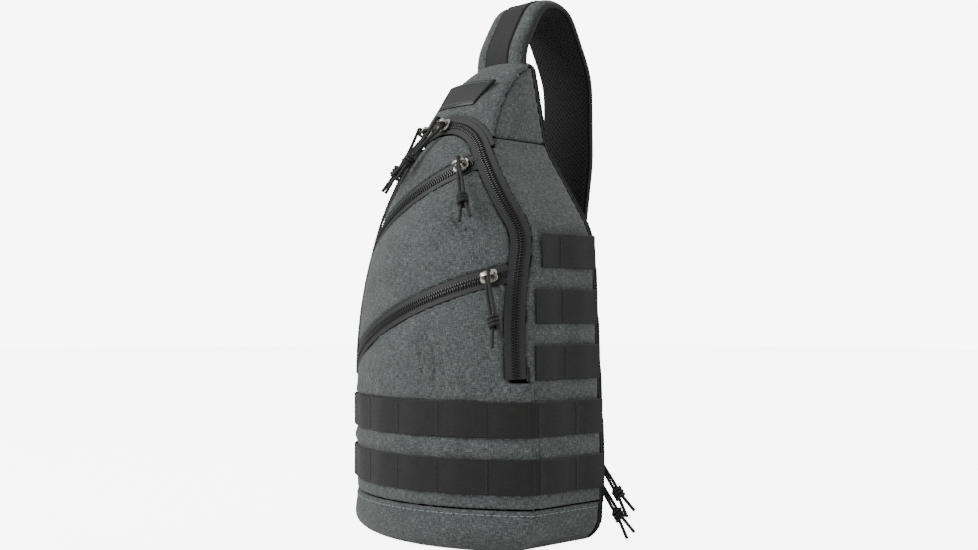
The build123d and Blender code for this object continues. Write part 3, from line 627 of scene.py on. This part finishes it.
def flap_folds(p):
    """Shallow folds that run from the zip's right end towards the pocket zips."""
    folds = crease(p, (78, 140), (30, 160), 6, 1.3) + crease(p, (84, 170), (55, 150), 5, 1.0)
    folds += crease(p, (20, 215), (60, 240), 7, 0.9) + crease(p, (-60, 150), (-20, 140), 7, 1.0)
    return folds


def boot_sag(p):
    """The boot's lower edge is pulled up a little at each seam and sags between."""
    if p.z > 20:
        return 0.0
    return 0.7 * math.sin(p.x / 17.0) * math.sin(p.z / 20 * math.pi)


def hinge_cloth():
    """The band of cloth at the flap's foot, a fixed band along the hinge line."""
    places = list(np.linspace(-80, 80, 81))
    rings = []
    for x in places:
        corners = ((HINGE_Z - 6, 0.0), (HINGE_Z + 6, 0.0), (HINGE_Z + 6, 4.0), (HINGE_Z - 6, 4.0))
        rings.append([skin(x, z) - skin_normal(x, z) * deep for z, deep in corners])
    return finish_piece("hinge_cloth", *skin_over(rings, places), HEATHER, None)


def front_swell(p):
    """The front panel swells less under its webbing, and not at all along the hinge's own fold."""
    return front_still(p) if p.z < HINGE_Z - 12 else 1.0


front_wall = wall("front_cloth", ["lower_front_panel", "flap_panel_bottom"], None, HEATHER, puff=2.6, reach=17,
                  dents=1.3, still=front_swell, extra=flap_folds, also=[hinge_cloth()])
pocket_walls = [wall("pocket_middle", ["flap_panel_middle"], "flap", HEATHER, puff=3.0, reach=18, dents=1.2),
                wall("pocket_top", ["flap_panel_top"], "flap", HEATHER, puff=2.2, reach=13, dents=0.8)]
boot_wall = wall("boot_cover", ["boot"], "bag", HEATHER, puff=1.4, reach=9, dents=1.0, extra=boot_sag)
yoke_walls = []
for side in ("left", "right"):
    wall(f"side_{side}", [f"side_panel_{side}"], "bag", HEATHER, puff=1.5, reach=10, still=under_webbing)
    yoke_walls.append(wall(f"yoke_{side}", [f"yoke_side_{side}"], "bag", HEATHER, puff=1.6, reach=12))
yoke_walls.append(wall("yoke_face", ["yoke_front"], "bag", HEATHER, puff=1.0, reach=10, dents=0.4))
back_wall = wall("back_pad", ["back_cover", "back_foam"], "bag", MESH, puff=2.5, reach=18, dents=0.6)
wall("corner_tab", ["corner_wing"], "bag", HEATHER, puff=0.4, reach=5, dents=0.1, voxel=1.1)
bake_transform(front_wall)

# %% [markdown]
# Webbing runs round the girth in two rows and down each side in three more. Bar tacks hold it every 38 mm, and the
# webbing stands a little proud between them. Its line is worked out on the form: side, rounded corner, front.

# %% Rows of webbing and their bar tacks
WEBBING_W = 25.4
WEBBING_T = 1.5
TACK_PITCH = 38.0
SIDE_END = BACK_Y - 5.0


def girth(z, side=None, behind=0.0, corner=4.0):
    """Points and outward directions round the bag at a level, or only along one side."""
    half = half_width(z)
    corner_y = skin(half, z).y
    rows = []
    if side is None:
        for sign in (-1, 1):
            out = Vector((sign, 0, 0))
            flank = [(Vector((sign * half, y, z)), out) for y in np.linspace(SIDE_END, corner_y + corner, 20)]
            edge_x = half - corner
            start, tip, stop = flank[-1][0], Vector((sign * half, corner_y, z)), skin(sign * edge_x, z)
            front_out = skin_normal(sign * edge_x, z)
            bend = [(start * (1 - t) ** 2 + tip * 2 * t * (1 - t) + stop * t * t, out.lerp(front_out, t).normalized())
                    for t in (0.17, 0.33, 0.5, 0.67, 0.83)]
            rows.append(flank + bend)
        face = [(skin(x, z), skin_normal(x, z)) for x in np.linspace(-half + corner, half - corner, 60)]
        line = rows[0] + face + rows[1][::-1]
    else:
        out = Vector((side, 0, 0))
        line = [(Vector((side * half, y, z)), out) for y in np.linspace(corner_y + behind, SIDE_END, 30)]
        if side < 0:
            line = line[::-1]
    both = resample([Vector((*p, *o)) for p, o in line], 1.5)
    return [Vector(v[:3]) for v in both], [Vector(v[3:]).normalized() for v in both]


BAR_SHAPE, BAR_FACES = pill(1.9, 0.85, 0.55)
tack_frames = []


def lashing(name, z, node_name, side=None):
    """One row of webbing, and the places of its tacks."""
    line, outs = girth(z, side=side, behind=6.0)
    frames = frames_along(line, outs)
    lengths = np.cumsum([0.0] + [(b - a).length for a, b in zip(line, line[1:])])
    middle = lengths[-1] / 2 if side is None else lengths[-1]
    turns = []
    if side is None:
        bend = half_width(z) - 1.5
        turns = [s for s, a, b in zip(lengths, line, line[1:]) if (abs(a.x) - bend) * (abs(b.x) - bend) < 0]
    swell = []
    for s in lengths:
        free = min([1.0] + [abs(s - turn) / 14 for turn in turns])
        swell.append(0.3 + 0.85 * free * math.sin(math.pi * (s - middle) / TACK_PITCH) ** 2)
    made = strip(name, frames, flat_section(WEBBING_W, WEBBING_T, rows=10), WEBBING, "bag", swell)
    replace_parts(made, node_name)
    for place in list(np.arange(middle % TACK_PITCH, lengths[-1] - 3, TACK_PITCH)) + turns:
        if place < 3:
            continue
        p, across, out = frames[int(np.searchsorted(lengths, place))]
        for step in np.arange(-11.4, 11.5, 0.85):
            tack_frames.append((p + across * step + out * (WEBBING_T + 0.4), across, out))


lashing("girth_webbing_low", WEBBING_ROWS[0], "webbing_row_lower")
lashing("girth_webbing_high", WEBBING_ROWS[1], "webbing_row_upper")
for index, z in enumerate(WEBBING_ROWS[2:], 1):
    lashing(f"flank_webbing_right_{index}", z, f"side_webbing_right_{index}", 1)
    lashing(f"flank_webbing_left_{index}", z, f"side_webbing_left_{index}", -1)
many("bar_tacks", tack_frames, BAR_SHAPE, BAR_FACES, THREAD_BLACK, "bag")
print("bar tacks:", len(tack_frames), "threads")

# %% [markdown]
# A coil zip is two woven tapes with a row of moulded teeth each. The teeth of the two rows are half a pitch apart and
# reach past the middle line, so a closed zip reads as one chain. The pocket zips tuck under the main zip's tape.

# %% Zips
ZIP_HALF = 7.0
POCKET_ZIP_HALF = 6.5
TOOTH_SHAPE = [(y, x, z) for x, y, z in pill(3.5, 1.25, 1.5)[0]]
TOOTH_FACES = pill(3.5, 1.25, 1.5)[1]
TOOTH_PITCH = 2.0


def chain(name, frames, offset, phase, body, high=0.7):
    """A row of teeth beside a zip's middle line."""
    lengths = np.cumsum([0.0] + [(b[0] - a[0]).length for a, b in zip(frames, frames[1:])])
    picked = []
    for place in np.arange(phase, lengths[-1] - 1, TOOTH_PITCH):
        p, across, out = frames[int(np.searchsorted(lengths, place))]
        picked.append((p + across * offset + out * high, across, out))
    return many(name, picked, TOOTH_SHAPE, TOOTH_FACES, COIL, body)


def tape(name, frames, low, high, top, body, thick=1.0):
    """A woven tape between two distances across a zip's line, with its upper face at a height."""
    section = [(a + (low + high) / 2, b + top - thick) for a, b in flat_section(high - low, thick, edge=0.4)]
    return strip(name, frames, section, TAPE, body)


def on_skin(line):
    """Frames along (x, z) points on the front."""
    points = [skin(p[0], p[1]) for p in line]
    return frames_along(points, [skin_normal(p[0], p[1]) for p in line])


main_frames = on_skin(resample(arch_line(ZIP_HALF), 0.5))
# A strip of black zip tape, wider than the zip and set just below the skin over the top of the arch. It is painted
# shade: it stands for the shadow in the gap between the main zip's tape and the yoke.
tape("arch_painted_shade_strip", [f for f in main_frames[::3] if f[0].z > 292], 4.6, 10.8, -0.35, "bag")
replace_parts(tape("main_tape_body", main_frames[::3], 0.45, 7.4, 0.35, "bag"), "main_zip_body_half")
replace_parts(tape("main_tape_flap", main_frames[::3], -7.6, -0.45, 0.35, "flap"), "main_zip_flap_half")
chain("main_coil_body", main_frames, 1.25, 0.4, "bag", 0.75)
chain("main_coil_flap", main_frames, -1.25, 0.4 + TOOTH_PITCH / 2, "flap", 0.75)


def circle_line(left, middle, right, over=0.17, count=400):
    """(x, z) points on the circle through three points of the front, run past both ends."""
    a, b, c = (skin(*p) for p in (left, middle, right))
    u, v = a - b, c - b
    axis = v.cross(u)
    centre = b + (v * u.dot(u) - u * v.dot(v)).cross(axis) * (-1 / (2 * axis.dot(axis)))
    x_dir = (b - centre).normalized()
    y_dir = axis.normalized().cross(x_dir)
    turns = [math.atan2((p - centre).dot(y_dir), (p - centre).dot(x_dir)) for p in (a, c)]
    way = 1 if turns[1] > turns[0] else -1
    line = []
    for turn in np.linspace(turns[0] - way * over, turns[1] + way * over, count):
        p = centre + (x_dir * math.cos(turn) + y_dir * math.sin(turn)) * (b - centre).length
        line.append((p.x, p.z))
    return line


def inside(point, fence):
    """Whether an (x, z) point lies inside a closed outline."""
    hits = 0
    for (ax, az), (bx, bz) in zip(fence, fence[1:] + fence[:1]):
        if (az > point[1]) != (bz > point[1]) and point[0] < ax + (point[1] - az) * (bx - ax) / (bz - az):
            hits += 1
    return hits % 2 == 1


fence = [tuple(p) for p in arch_line(11.0)]
POCKET_LINES = {"lower": ((-80, 137), (0, 172), (74, 197.5)), "upper": ((-67, 232), (0, 266), (34, 281))}
pocket_frames = {}
for pocket, ends in POCKET_LINES.items():
    line = [p for p in circle_line(*ends) if inside(p, fence)]
    frames = on_skin(resample([Vector(p) for p in line], 0.5))
    pocket_frames[pocket] = frames
    upper_tape = tape(f"{pocket}_pocket_tape_high", frames[::3], 0.4, POCKET_ZIP_HALF + 0.5, -0.15, "flap")
    tape(f"{pocket}_pocket_tape_low", frames[::3], -POCKET_ZIP_HALF - 0.5, -0.4, -0.15, "flap")
    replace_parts(upper_tape, f"{pocket}_pocket_zip")
    chain(f"{pocket}_pocket_coil_high", frames, 1.2, 0.4, "flap", 0.25)
    chain(f"{pocket}_pocket_coil_low", frames, -1.2, 0.4 + TOOTH_PITCH / 2, "flap", 0.25)

BACK_ZIP_X = 82.0
back_line = [Vector((BACK_ZIP_X, BACK_Y, z)) for z in np.arange(30.0, 205.1, 0.5)]
back_frames = frames_along(back_line, [Vector((0, 1, 0))] * len(back_line))
back_tape = tape("back_tape_high", back_frames[::8], 0.4, POCKET_ZIP_HALF, 0.1, "bag")
tape("back_tape_low", back_frames[::8], -POCKET_ZIP_HALF, -0.4, 0.1, "bag")
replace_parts(back_tape, "back_zip")
chain("back_coil_high", back_frames, 1.2, 0.4, "bag", 0.45)
chain("back_coil_low", back_frames, -1.2, 0.4 + TOOTH_PITCH / 2, "bag", 0.45)
print("zips: main", len(main_frames) // 2, "mm, pockets", [len(f) // 2 for f in pocket_frames.values()], "mm")

# %% [markdown]
# A slider is a cast wedge: two plates joined by a neck, side flanges that press the teeth together, and a bridge
# over the top. Its frame is read from the CAD: the pull's hinge is the bridge's bar, and the plate's largest face
# points outward. All six are the same casting, bevelled and nickel plated.

# %% Sliders
BAR_Z = 7.5
SLIDERS = {"main_slider_left": -50.0, "main_slider_right": -34.0, "lower_pocket_slider": 0.0,
           "upper_pocket_slider": 0.0, "back_slider_lower": 50.0, "back_slider_upper": 50.0}


def slider_axes(name):
    """Origin, x along the teeth, y across them and z outward, in millimetres."""
    swing = joints[name.replace("_slider", "_pull") + "_swing"]
    bar = Vector(swing["pos_m"]) / MM
    x = -Vector(swing["axis"]).normalized()
    mesh = frame["nodes"][name].data
    flat = max((f for f in mesh.polygons if abs(f.normal.dot(x)) < 0.1), key=lambda f: f.area)
    middle = sum((v.co for v in mesh.vertices), Vector()) / len(mesh.vertices)
    z = flat.normal.copy()
    z = z - x * z.dot(x)
    z.normalize()
    if (bar - middle / MM).dot(z) < 0:
        z.negate()
    return bar - z * BAR_Z, x, z.cross(x), z


def prism(outline, low, high, turn=lambda u, v, w: (u, v, w)):
    """A closed block: an outline carried between two levels, with its axes reordered by turn."""
    count = len(outline)
    verts = [turn(u, v, w) for w in (low, high) for u, v in outline]
    faces = [tuple(range(count)), tuple(range(count, 2 * count))]
    faces += [(i, (i + 1) % count, count + (i + 1) % count, count + i) for i in range(count)]
    return verts, faces


def oblong(x_low, x_high, y_low, y_high):
    return [(x_low, y_low), (x_high, y_low), (x_high, y_high), (x_low, y_high)]


shield = [(-6.5, -2.9), (-5.4, -4.1), (-3.0, -4.6), (2.6, -4.8), (5.2, -4.3), (6.4, -2.8), (6.5, -0.9), (5.8, 0.0),
          (6.5, 0.9), (6.4, 2.8), (5.2, 4.3), (2.6, 4.8), (-3.0, 4.6), (-5.4, 4.1), (-6.5, 2.9)]
bridge = [(-5.4, 3.0), (-5.4, 6.6), (-4.9, 7.9), (-3.6, 8.6), (3.6, 8.6), (4.9, 7.9), (5.4, 6.6), (5.4, 3.0),
          (3.9, 3.0), (3.9, 5.9), (3.4, 6.4), (-3.4, 6.4), (-3.9, 5.9), (-3.9, 3.0)]
slider_blocks = [prism(shield, 2.0, 3.2), prism([(x * 0.92, y * 0.9) for x, y in shield], -3.0, -2.1),
                 prism(oblong(-1.7, 1.7, -0.3, 0.3), -2.2, 2.1),
                 prism(bridge, -1.15, 1.15, lambda u, v, w: (u, w, v)),
                 prism(oblong(-4.0, 3.4, -4.75, -4.05), 0.9, 2.1), prism(oblong(-4.0, 3.4, 4.05, 4.75), 0.9, 2.1)]


def make_slider(name):
    origin, x, y, z = slider_axes(name)
    verts, faces = [], []
    for block, block_faces in slider_blocks:
        start = len(verts)
        verts += [origin + x * u + y * v + z * w for u, v, w in block]
        faces += [tuple(start + i for i in face) for face in block_faces]
    made = finish_piece(name + "_casting", verts, faces, None, NICKEL, name, 35)
    bevel = made.modifiers.new("cast_edges", "BEVEL")
    bevel.width = 0.28 * MM
    bevel.segments = 2
    bevel.limit_method = "ANGLE"
    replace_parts(made, name)


for name in SLIDERS:
    make_slider(name)
print("sliders:", len(SLIDERS))

# %% [markdown]
# Each pull is one soft cord: a strand leaves under the bridge, the other wraps over its bar, and both end in a knot
# 32 mm away. The strands are NURBS curves through the route's own few points. The knot is a barrel of wraps round
# both strands, whose two cut tails stick out of it.

# %% Cord pulls and knots
CORD_D = 2.5
STRAND_APART = 3.2
BAR_WRAP_R = 2.75
PULL_REACH = 32.0
KNOT_DROP = {"lower_pocket_slider": -4.0}


def cord_curve(name, points, body):
    """A cord whose control points are the route's points."""
    data = bpy.data.curves.new(name, "CURVE")
    data.dimensions = "3D"
    spline = data.splines.new("NURBS")
    spline.points.add(len(points) - 1)
    for point, place in zip(spline.points, points):
        point.co = (*(place * MM), 1)
    spline.order_u = 3
    spline.use_endpoint_u = True
    data.resolution_u = 10
    data.bevel_depth = CORD_D / 2 * MM
    data.bevel_resolution = 4
    data.use_fill_caps = True
    data.materials.append(CORD)
    made = bpy.data.objects.new(name, data)
    bpy.context.collection.objects.link(made)
    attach(made, body)
    return made, spline


def tube(line, outs, radius, sides=10):
    """Rings round a line, as vertices, faces and UVs."""
    radii = radius if isinstance(radius, list) else [radius] * len(line)
    rings = []
    for (p, across, out), r in zip(frames_along(line, outs), radii):
        turns = [2 * math.pi * j / sides for j in range(sides)]
        rings.append([p + (across * math.cos(t) + out * math.sin(t)) * r for t in turns])
    lengths = np.cumsum([0.0] + [(b - a).length for a, b in zip(line, line[1:])])
    return skin_over(rings, lengths)


def make_pull(name, slant):
    """Both strands, the knot and its tails."""
    origin, x, y, z = slider_axes(name)
    pull = name.replace("_slider", "_pull")
    side = 1 if slant >= 0 else -1
    turn = math.radians(slant)
    drop = KNOT_DROP.get(name, 1.0)

    def to_frame(p):
        return origin + x * p.x + y * p.y + z * p.z

    away = Vector((math.sin(turn), -math.cos(turn), 0))
    apart = Vector((math.cos(turn), math.sin(turn), 0)) * side
    bar = Vector((0, 0, BAR_Z))
    half = Vector((side * STRAND_APART / 2, 0, 0))
    r, hexagon = BAR_WRAP_R, BAR_WRAP_R / math.cos(math.radians(30))
    end = bar + away * PULL_REACH - Vector((0, 0, drop))
    under_end, over_end = end - apart * (STRAND_APART / 2), end + apart * (STRAND_APART / 2)
    under = [bar - half + Vector((0, 1.0, -r)), bar - half + Vector((0, -4.5, -r)),
             under_end - away * 18.5 + Vector((0, 0, -0.5)), under_end - away * 9.0, under_end]
    over = [bar + half + Vector((0, 0, -r)), bar + half + Vector((0, hexagon / 2, -r)),
            bar + half + Vector((0, hexagon, 0)), bar + half + Vector((0, hexagon / 2, r)),
            bar + half + Vector((0, -hexagon / 2, r)), over_end - away * 24.6 + Vector((0, 0, 2.3)),
            over_end - away * 15.5 + Vector((0, 0, 0.6)), over_end - away * 7.5, over_end]

    across = Vector((math.cos(turn), math.sin(turn), 0))
    up = Vector((0, 0, 1))
    pieces = []
    wraps = [end + away * (1.9 + 8.2 * t) + (across * math.cos(t * 18.2) + up * math.sin(t * 18.2)) * 3.25
             for t in np.linspace(0, 1, 66)]
    round_outs = [(p - end - away * (p - end).dot(away)).normalized() for p in wraps]
    pieces.append(tube(wraps, round_outs, CORD_D / 2 + 0.1))
    for sign in (-1, 1):
        lean = (away * math.cos(math.radians(10)) + across * sign * math.sin(math.radians(10)))
        root = end + away * 9 + across * sign * 1.7
        line = [end + away * 0.2 + across * sign * 1.5, end + away * 4 + across * sign * 1.5, root]
        line += [root + lean * s + up * (0.12 * math.sin(s)) for s in (3, 6, 9, 12, 14, 15.2, 15.6)]
        sizes = [1.25] * 8 + [1.38, 1.1]
        pieces.append(tube(line, [up] * len(line), sizes))
    verts, faces, uvs = [], [], []
    for piece_verts, piece_faces, piece_uvs in pieces:
        start = len(verts)
        verts += [to_frame(p) for p in piece_verts]
        faces += [tuple(start + i for i in face) for face in piece_faces]
        uvs += piece_uvs
    knot = finish_piece(pull + "_wrapped_knot", verts, faces, uvs, CORD, pull, 50)
    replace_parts(knot, pull + "_knot")
    for label, route in (("under", under), ("over", over)):
        strand, spline = cord_curve(f"{pull}_strand_{label}", [to_frame(p) for p in route], pull)
        if label == "under":
            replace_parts(strand, pull + "_cord")


for name, slant in SLIDERS.items():
    make_pull(name, slant)
print("cord strands:", 2 * len(SLIDERS))

# %% [markdown]
# The shoulder strap is a pad on one smooth line from the yoke over the shoulder and down behind the back. Cloth
# covers its outer half, air mesh its inner half, and binding tape holds the edges. Webbing is sewn down its middle.

# %% Shoulder strap
STRAP_LINE = [(47.8, HEIGHT - 12), (48.0, HEIGHT + 10), (70, 418), (98, 419), (126, 366), (127, 296), (113, 205)]
STRAP_RADII = [30, 18, 20, 60, 90]
STRAP_HALF = 25.0
PAD_HALF_T = 5.2
TAPER = 14.0
strap_path = [Vector(p) for p in STRAP_LINE]
tail_way = (strap_path[-1] - strap_path[-2]).normalized()
strap_path[-1] = strap_path[-1] + tail_way * TAPER
pad_line = [Vector((0, p.x, p.y)) for p in rounded([tuple(p) for p in strap_path], STRAP_RADII, 2.0)]
for _ in range(12):
    eased = [(a + b * 2 + c) / 4 for a, b, c in zip(pad_line, pad_line[1:], pad_line[2:])]
    pad_line = pad_line[:1] + eased + pad_line[-1:]
pad_outs = []
for i in range(len(pad_line)):
    along = pad_line[min(i + 1, len(pad_line) - 1)] - pad_line[max(i - 1, 0)]
    pad_outs.append(Vector((0, -along.z, along.y)).normalized())
pad_frames = frames_along(pad_line, pad_outs)
pad_lengths = np.cumsum([0.0] + [(b - a).length for a, b in zip(pad_line, pad_line[1:])])


def narrow(i):
    """Width and thickness of the pad as shares of full, at a point near its lower end."""
    left = pad_lengths[-1] - pad_lengths[i]
    share = max(0.0, 1 - left / TAPER)
    return 1 - 0.38 * share**1.3, 1 - 0.3 * share


def pad_rings(profile):
    """The pad's rings from a section of (across, out) pairs, narrowed towards the end."""
    rings = []
    for i, (p, across, out) in enumerate(pad_frames):
        wide, thick = narrow(i)
        ripple = 0.25 * noise.noise(Vector((pad_lengths[i] * 0.045, 0, 3)))
        rings.append([p + across * a * wide + out * (b * thick + (ripple if abs(b) > 3 else 0)) for a, b in profile])
    return rings


def pad_profile(sign):
    """Half of the section: flat under the webbing, a soft roll beside it, and a rounded edge."""
    top = []
    for t in np.linspace(-1, 1, 33):
        a = t * STRAP_HALF
        gap = abs(a)
        edge = math.sqrt(max(0.0, 1 - max(0.0, (gap - 20.5) / 4.5) ** 2))
        roll = 0.7 * math.sin(math.pi * min(1.0, max(0.0, (gap - 13) / 9)))
        flat = PAD_HALF_T + (roll if sign > 0 else 0.4 * math.cos(a / 16))
        top.append((a, sign * max(0.7, 0.7 + (flat - 0.7) * edge)))
    return top + [(STRAP_HALF, 0.0), (0.0, 0.0), (-STRAP_HALF, 0.0)]


cover = finish_piece("strap_cloth", *skin_over(pad_rings(pad_profile(1)), pad_lengths), HEATHER, "bag", 60)
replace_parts(cover, "strap_cover", "strap_foam", "strap_end")
under_pad = finish_piece("strap_air_mesh", *skin_over(pad_rings(pad_profile(-1)), pad_lengths), MESH, "bag", 60)
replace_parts(under_pad, "strap_mesh")
for sign in (-1, 1):
    edge_section = [(sign * STRAP_HALF + a, b) for a, b in
                    [(1.0 * math.cos(t) - 0.9, 2.1 * math.sin(t)) for t in np.linspace(0, 2 * math.pi, 13)[:-1]]]
    finish_piece(f"strap_binding_{'left' if sign < 0 else 'right'}", *skin_over(pad_rings(edge_section), pad_lengths),
                 BINDING, "bag", 60)
spine_count = len([s for s in pad_lengths if s < pad_lengths[-1] - TAPER])
spine_frames = [(p + out * (PAD_HALF_T - 0.05), across, out) for p, across, out in pad_frames[:spine_count]]
spine = strip("strap_spine", spine_frames, flat_section(WEBBING_W, WEBBING_T, rows=10), WEBBING, "bag")
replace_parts(spine, "strap_spine_webbing")
spine_top = PAD_HALF_T + WEBBING_T - 0.1
for sign, label in ((-1, "left"), (1, "right")):
    row = [p + across * sign * 11.2 + out * spine_top for p, across, out in pad_frames[:spine_count]]
    stitches(f"spine_stitches_{label}", row, pad_outs[:spine_count], "bag", THREAD_BLACK, 0.1)
print("strap pad:", round(pad_lengths[-1]), "mm along its middle")

# %% [markdown]
# The strap ends in webbing that threads through a side-release buckle on a cloth tab at the left lower corner. The
# buckle keeps its CAD form, with the moulded parts' edges rounded.

# %% Lower strap, buckle and label
WING_TIP = Vector((-112, BACK_Y, 66))
run_down = Vector((112, 0, 205 - 66))
ribbon_x = run_down.normalized()
THREAD_Y = 16.65


def ribbon_strip(name, points, radii, node_name):
    """Webbing whose middle follows (along, behind) points in the lower strap's own frame."""
    path = [WING_TIP + ribbon_x * p.x + Vector((0, p.y, 0)) for p in rounded(points, radii, 1.5)]
    outs = [Vector((0, 1, 0))] * len(path)
    section = [(a, b - WEBBING_T / 2) for a, b in flat_section(WEBBING_W, WEBBING_T, rows=10)]
    made = strip(name, frames_along(path, outs), section, WEBBING, "bag")
    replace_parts(made, node_name)


ribbon_strip("lower_strap", [(66, THREAD_Y), (124, THREAD_Y), (run_down.length - 8, 46)], [18], "strap_lower_webbing")
ribbon_strip("tab_webbing", [(-14, 3.25), (6, 3.25), (20, 11), (33, 11)], [8, 8], "corner_webbing")


def softened(name, node_name, body, material, width):
    """A CAD part with its sharp edges rounded over."""
    made = frame["nodes"][node_name].copy()
    made.data = made.data.copy()
    made.parent = None
    bpy.context.collection.objects.link(made)
    made.name = name
    for key in list(made.keys()):
        del made[key]
    made.data.materials.clear()
    made.data.materials.append(material)
    bpy.context.view_layer.objects.active = made
    made.select_set(True)
    bpy.ops.object.mode_set(mode="EDIT")
    bpy.ops.mesh.select_all(action="SELECT")
    bpy.ops.mesh.remove_doubles(threshold=1e-6)
    bpy.ops.mesh.dissolve_limited(angle_limit=math.radians(2))
    bpy.ops.object.mode_set(mode="OBJECT")
    bevel = made.modifiers.new("moulded_edges", "BEVEL")
    bevel.width = width * MM
    bevel.segments = 3
    bevel.limit_method = "ANGLE"
    bpy.ops.object.shade_smooth_by_angle(angle=math.radians(40))
    made.select_set(False)
    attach(made, body)
    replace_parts(made, node_name)
    return made


softened("socket_moulding", "buckle_socket", "bag", PLASTIC, 0.7)
softened("plug_moulding", "buckle_plug", "buckle_plug", PLASTIC, 0.6)
softened("arm_moulding_a", "buckle_arm_a", "buckle_arm_a", PLASTIC, 0.6)
softened("arm_moulding_b", "buckle_arm_b", "buckle_arm_b", PLASTIC, 0.6)

PATCH_CORNERS = ((-25, 330), (16, 330), (24, 350), (-25, 350))
PATCH_HIGH = 1.9


def patch_point(across, up, high):
    """A point of the patch from its shares across and up, at a height above the form."""
    low_x = PATCH_CORNERS[0][0] + (PATCH_CORNERS[1][0] - PATCH_CORNERS[0][0]) * across
    high_x = PATCH_CORNERS[3][0] + (PATCH_CORNERS[2][0] - PATCH_CORNERS[3][0]) * across
    x, z = low_x + (high_x - low_x) * up, 330 + 20 * up
    return skin(x, z) + skin_normal(x, z) * high


rings = []
for across in np.linspace(0, 1, 30):
    upper = [patch_point(across, up, PATCH_HIGH - (0.0 if 0.04 < up < 0.96 else 0.5)) for up in np.linspace(0, 1, 20)]
    rings.append(upper + [patch_point(across, up, -0.6) for up in (1.0, 0.5, 0.0)])
patch = finish_piece("yoke_patch", *skin_over(rings, list(np.linspace(0, 45, 30))), PATCH, "bag", 50)
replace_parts(patch, "label_patch")
border = [(0.05, 0.1), (0.95, 0.1), (0.95, 0.9), (0.05, 0.9), (0.05, 0.1)]
border_points = []
for (a0, u0), (a1, u1) in zip(border, border[1:]):
    for t in np.linspace(0, 0.95, 12):
        border_points.append(patch_point(a0 + (a1 - a0) * t, u0 + (u1 - u0) * t, PATCH_HIGH))
border_line = resample(border_points, 1.0)
stitches("patch_border", border_line, [Vector((0, -0.45, 0.9))] * len(border_line), "bag", THREAD_DIM, 0.15, 2.6)

for node_name, material in (("base_board", BOARD), ("rear_pocket_lining", LINING), ("pocket_lining", LINING)):
    for slot in frame["nodes"][node_name].material_slots:
        slot.material = material

# %% [markdown]
# Topstitching comes last. Each row starts as a line on the form and is dropped on to the finished cloth, so that it
# follows the cloth's swelling and folds.

# %% Topstitching
depsgraph = bpy.context.evaluated_depsgraph_get()


def surface_of(pieces):
    return [BVHTree.FromObject(piece, depsgraph) for piece in pieces]


def settle(line, outs, surfaces):
    """The line's points moved along their outward direction on to the cloth; points that miss it are dropped."""
    points, directions = [], []
    for p, out in zip(line, outs):
        best = None
        for surface in surfaces:
            place, normal, _, _ = surface.ray_cast((p + out * 14) * MM, -out, 26 * MM)
            if place is not None and (best is None or (place - best[0]).dot(out) > 0):
                best = (place, normal)
        if best and best[1].dot(out) > 0.3:
            points.append(best[0] / MM)
            directions.append(out)
    return points, directions


def seam_row(name, line, outs, surfaces, body, material=THREAD_GREY, lift=0.15):
    points, directions = settle(line, outs, surfaces)
    if len(points) > 4:
        stitches(name, points, directions, body, material, lift)


def front_row(name, xz, surfaces, body, material=THREAD_GREY):
    seam_row(name, [skin(p[0], p[1]) for p in xz], [skin_normal(p[0], p[1]) for p in xz], surfaces, body, material)


for sign, label in ((-1, "left"), (1, "right")):
    levels = np.arange(BOOT_Z - 1, HINGE_Z + 12, 3.0)
    edge = [Vector((sign * (half_width(z) - 1.0), skin(half_width(z), z).y + 1.0, z)) for z in levels]
    finish_piece(f"corner_piping_{label}", *tube(edge, [Vector((sign, -1, 0))] * len(edge), 0.75), BINDING, "bag")
boot_surface = surface_of([boot_wall])
line, outs = girth(BOOT_Z - 3.6)
seam_row("boot_stitches", line, outs, boot_surface, "bag")
flap_surface = surface_of([front_wall] + pocket_walls)
edge_row = resample([p for p in arch_line(17.0) if p.y > HINGE_Z + 16], 0.8)
front_row("flap_edge_stitches", edge_row, flap_surface, "flap", THREAD_DIM)
for pocket, frames in pocket_frames.items():
    for label, offset in (("high", POCKET_ZIP_HALF + 2.6), ("low", -POCKET_ZIP_HALF - 2.6)):
        moved = [p + across * offset for p, across, out in frames]
        row = [(p.x, p.z) for p in moved if inside((p.x, p.z), [tuple(q) for q in arch_line(15.5)])]
        front_row(f"{pocket}_zip_stitches_{label}", resample([Vector(p) for p in row], 0.8), flap_surface, "flap",
                  THREAD_DIM)
yoke_surface = surface_of(yoke_walls)
front_row("yoke_edge_stitches", resample([p for p in arch_line(-3.2) if p.y > 306], 0.8), yoke_surface, "bag",
          THREAD_DIM)
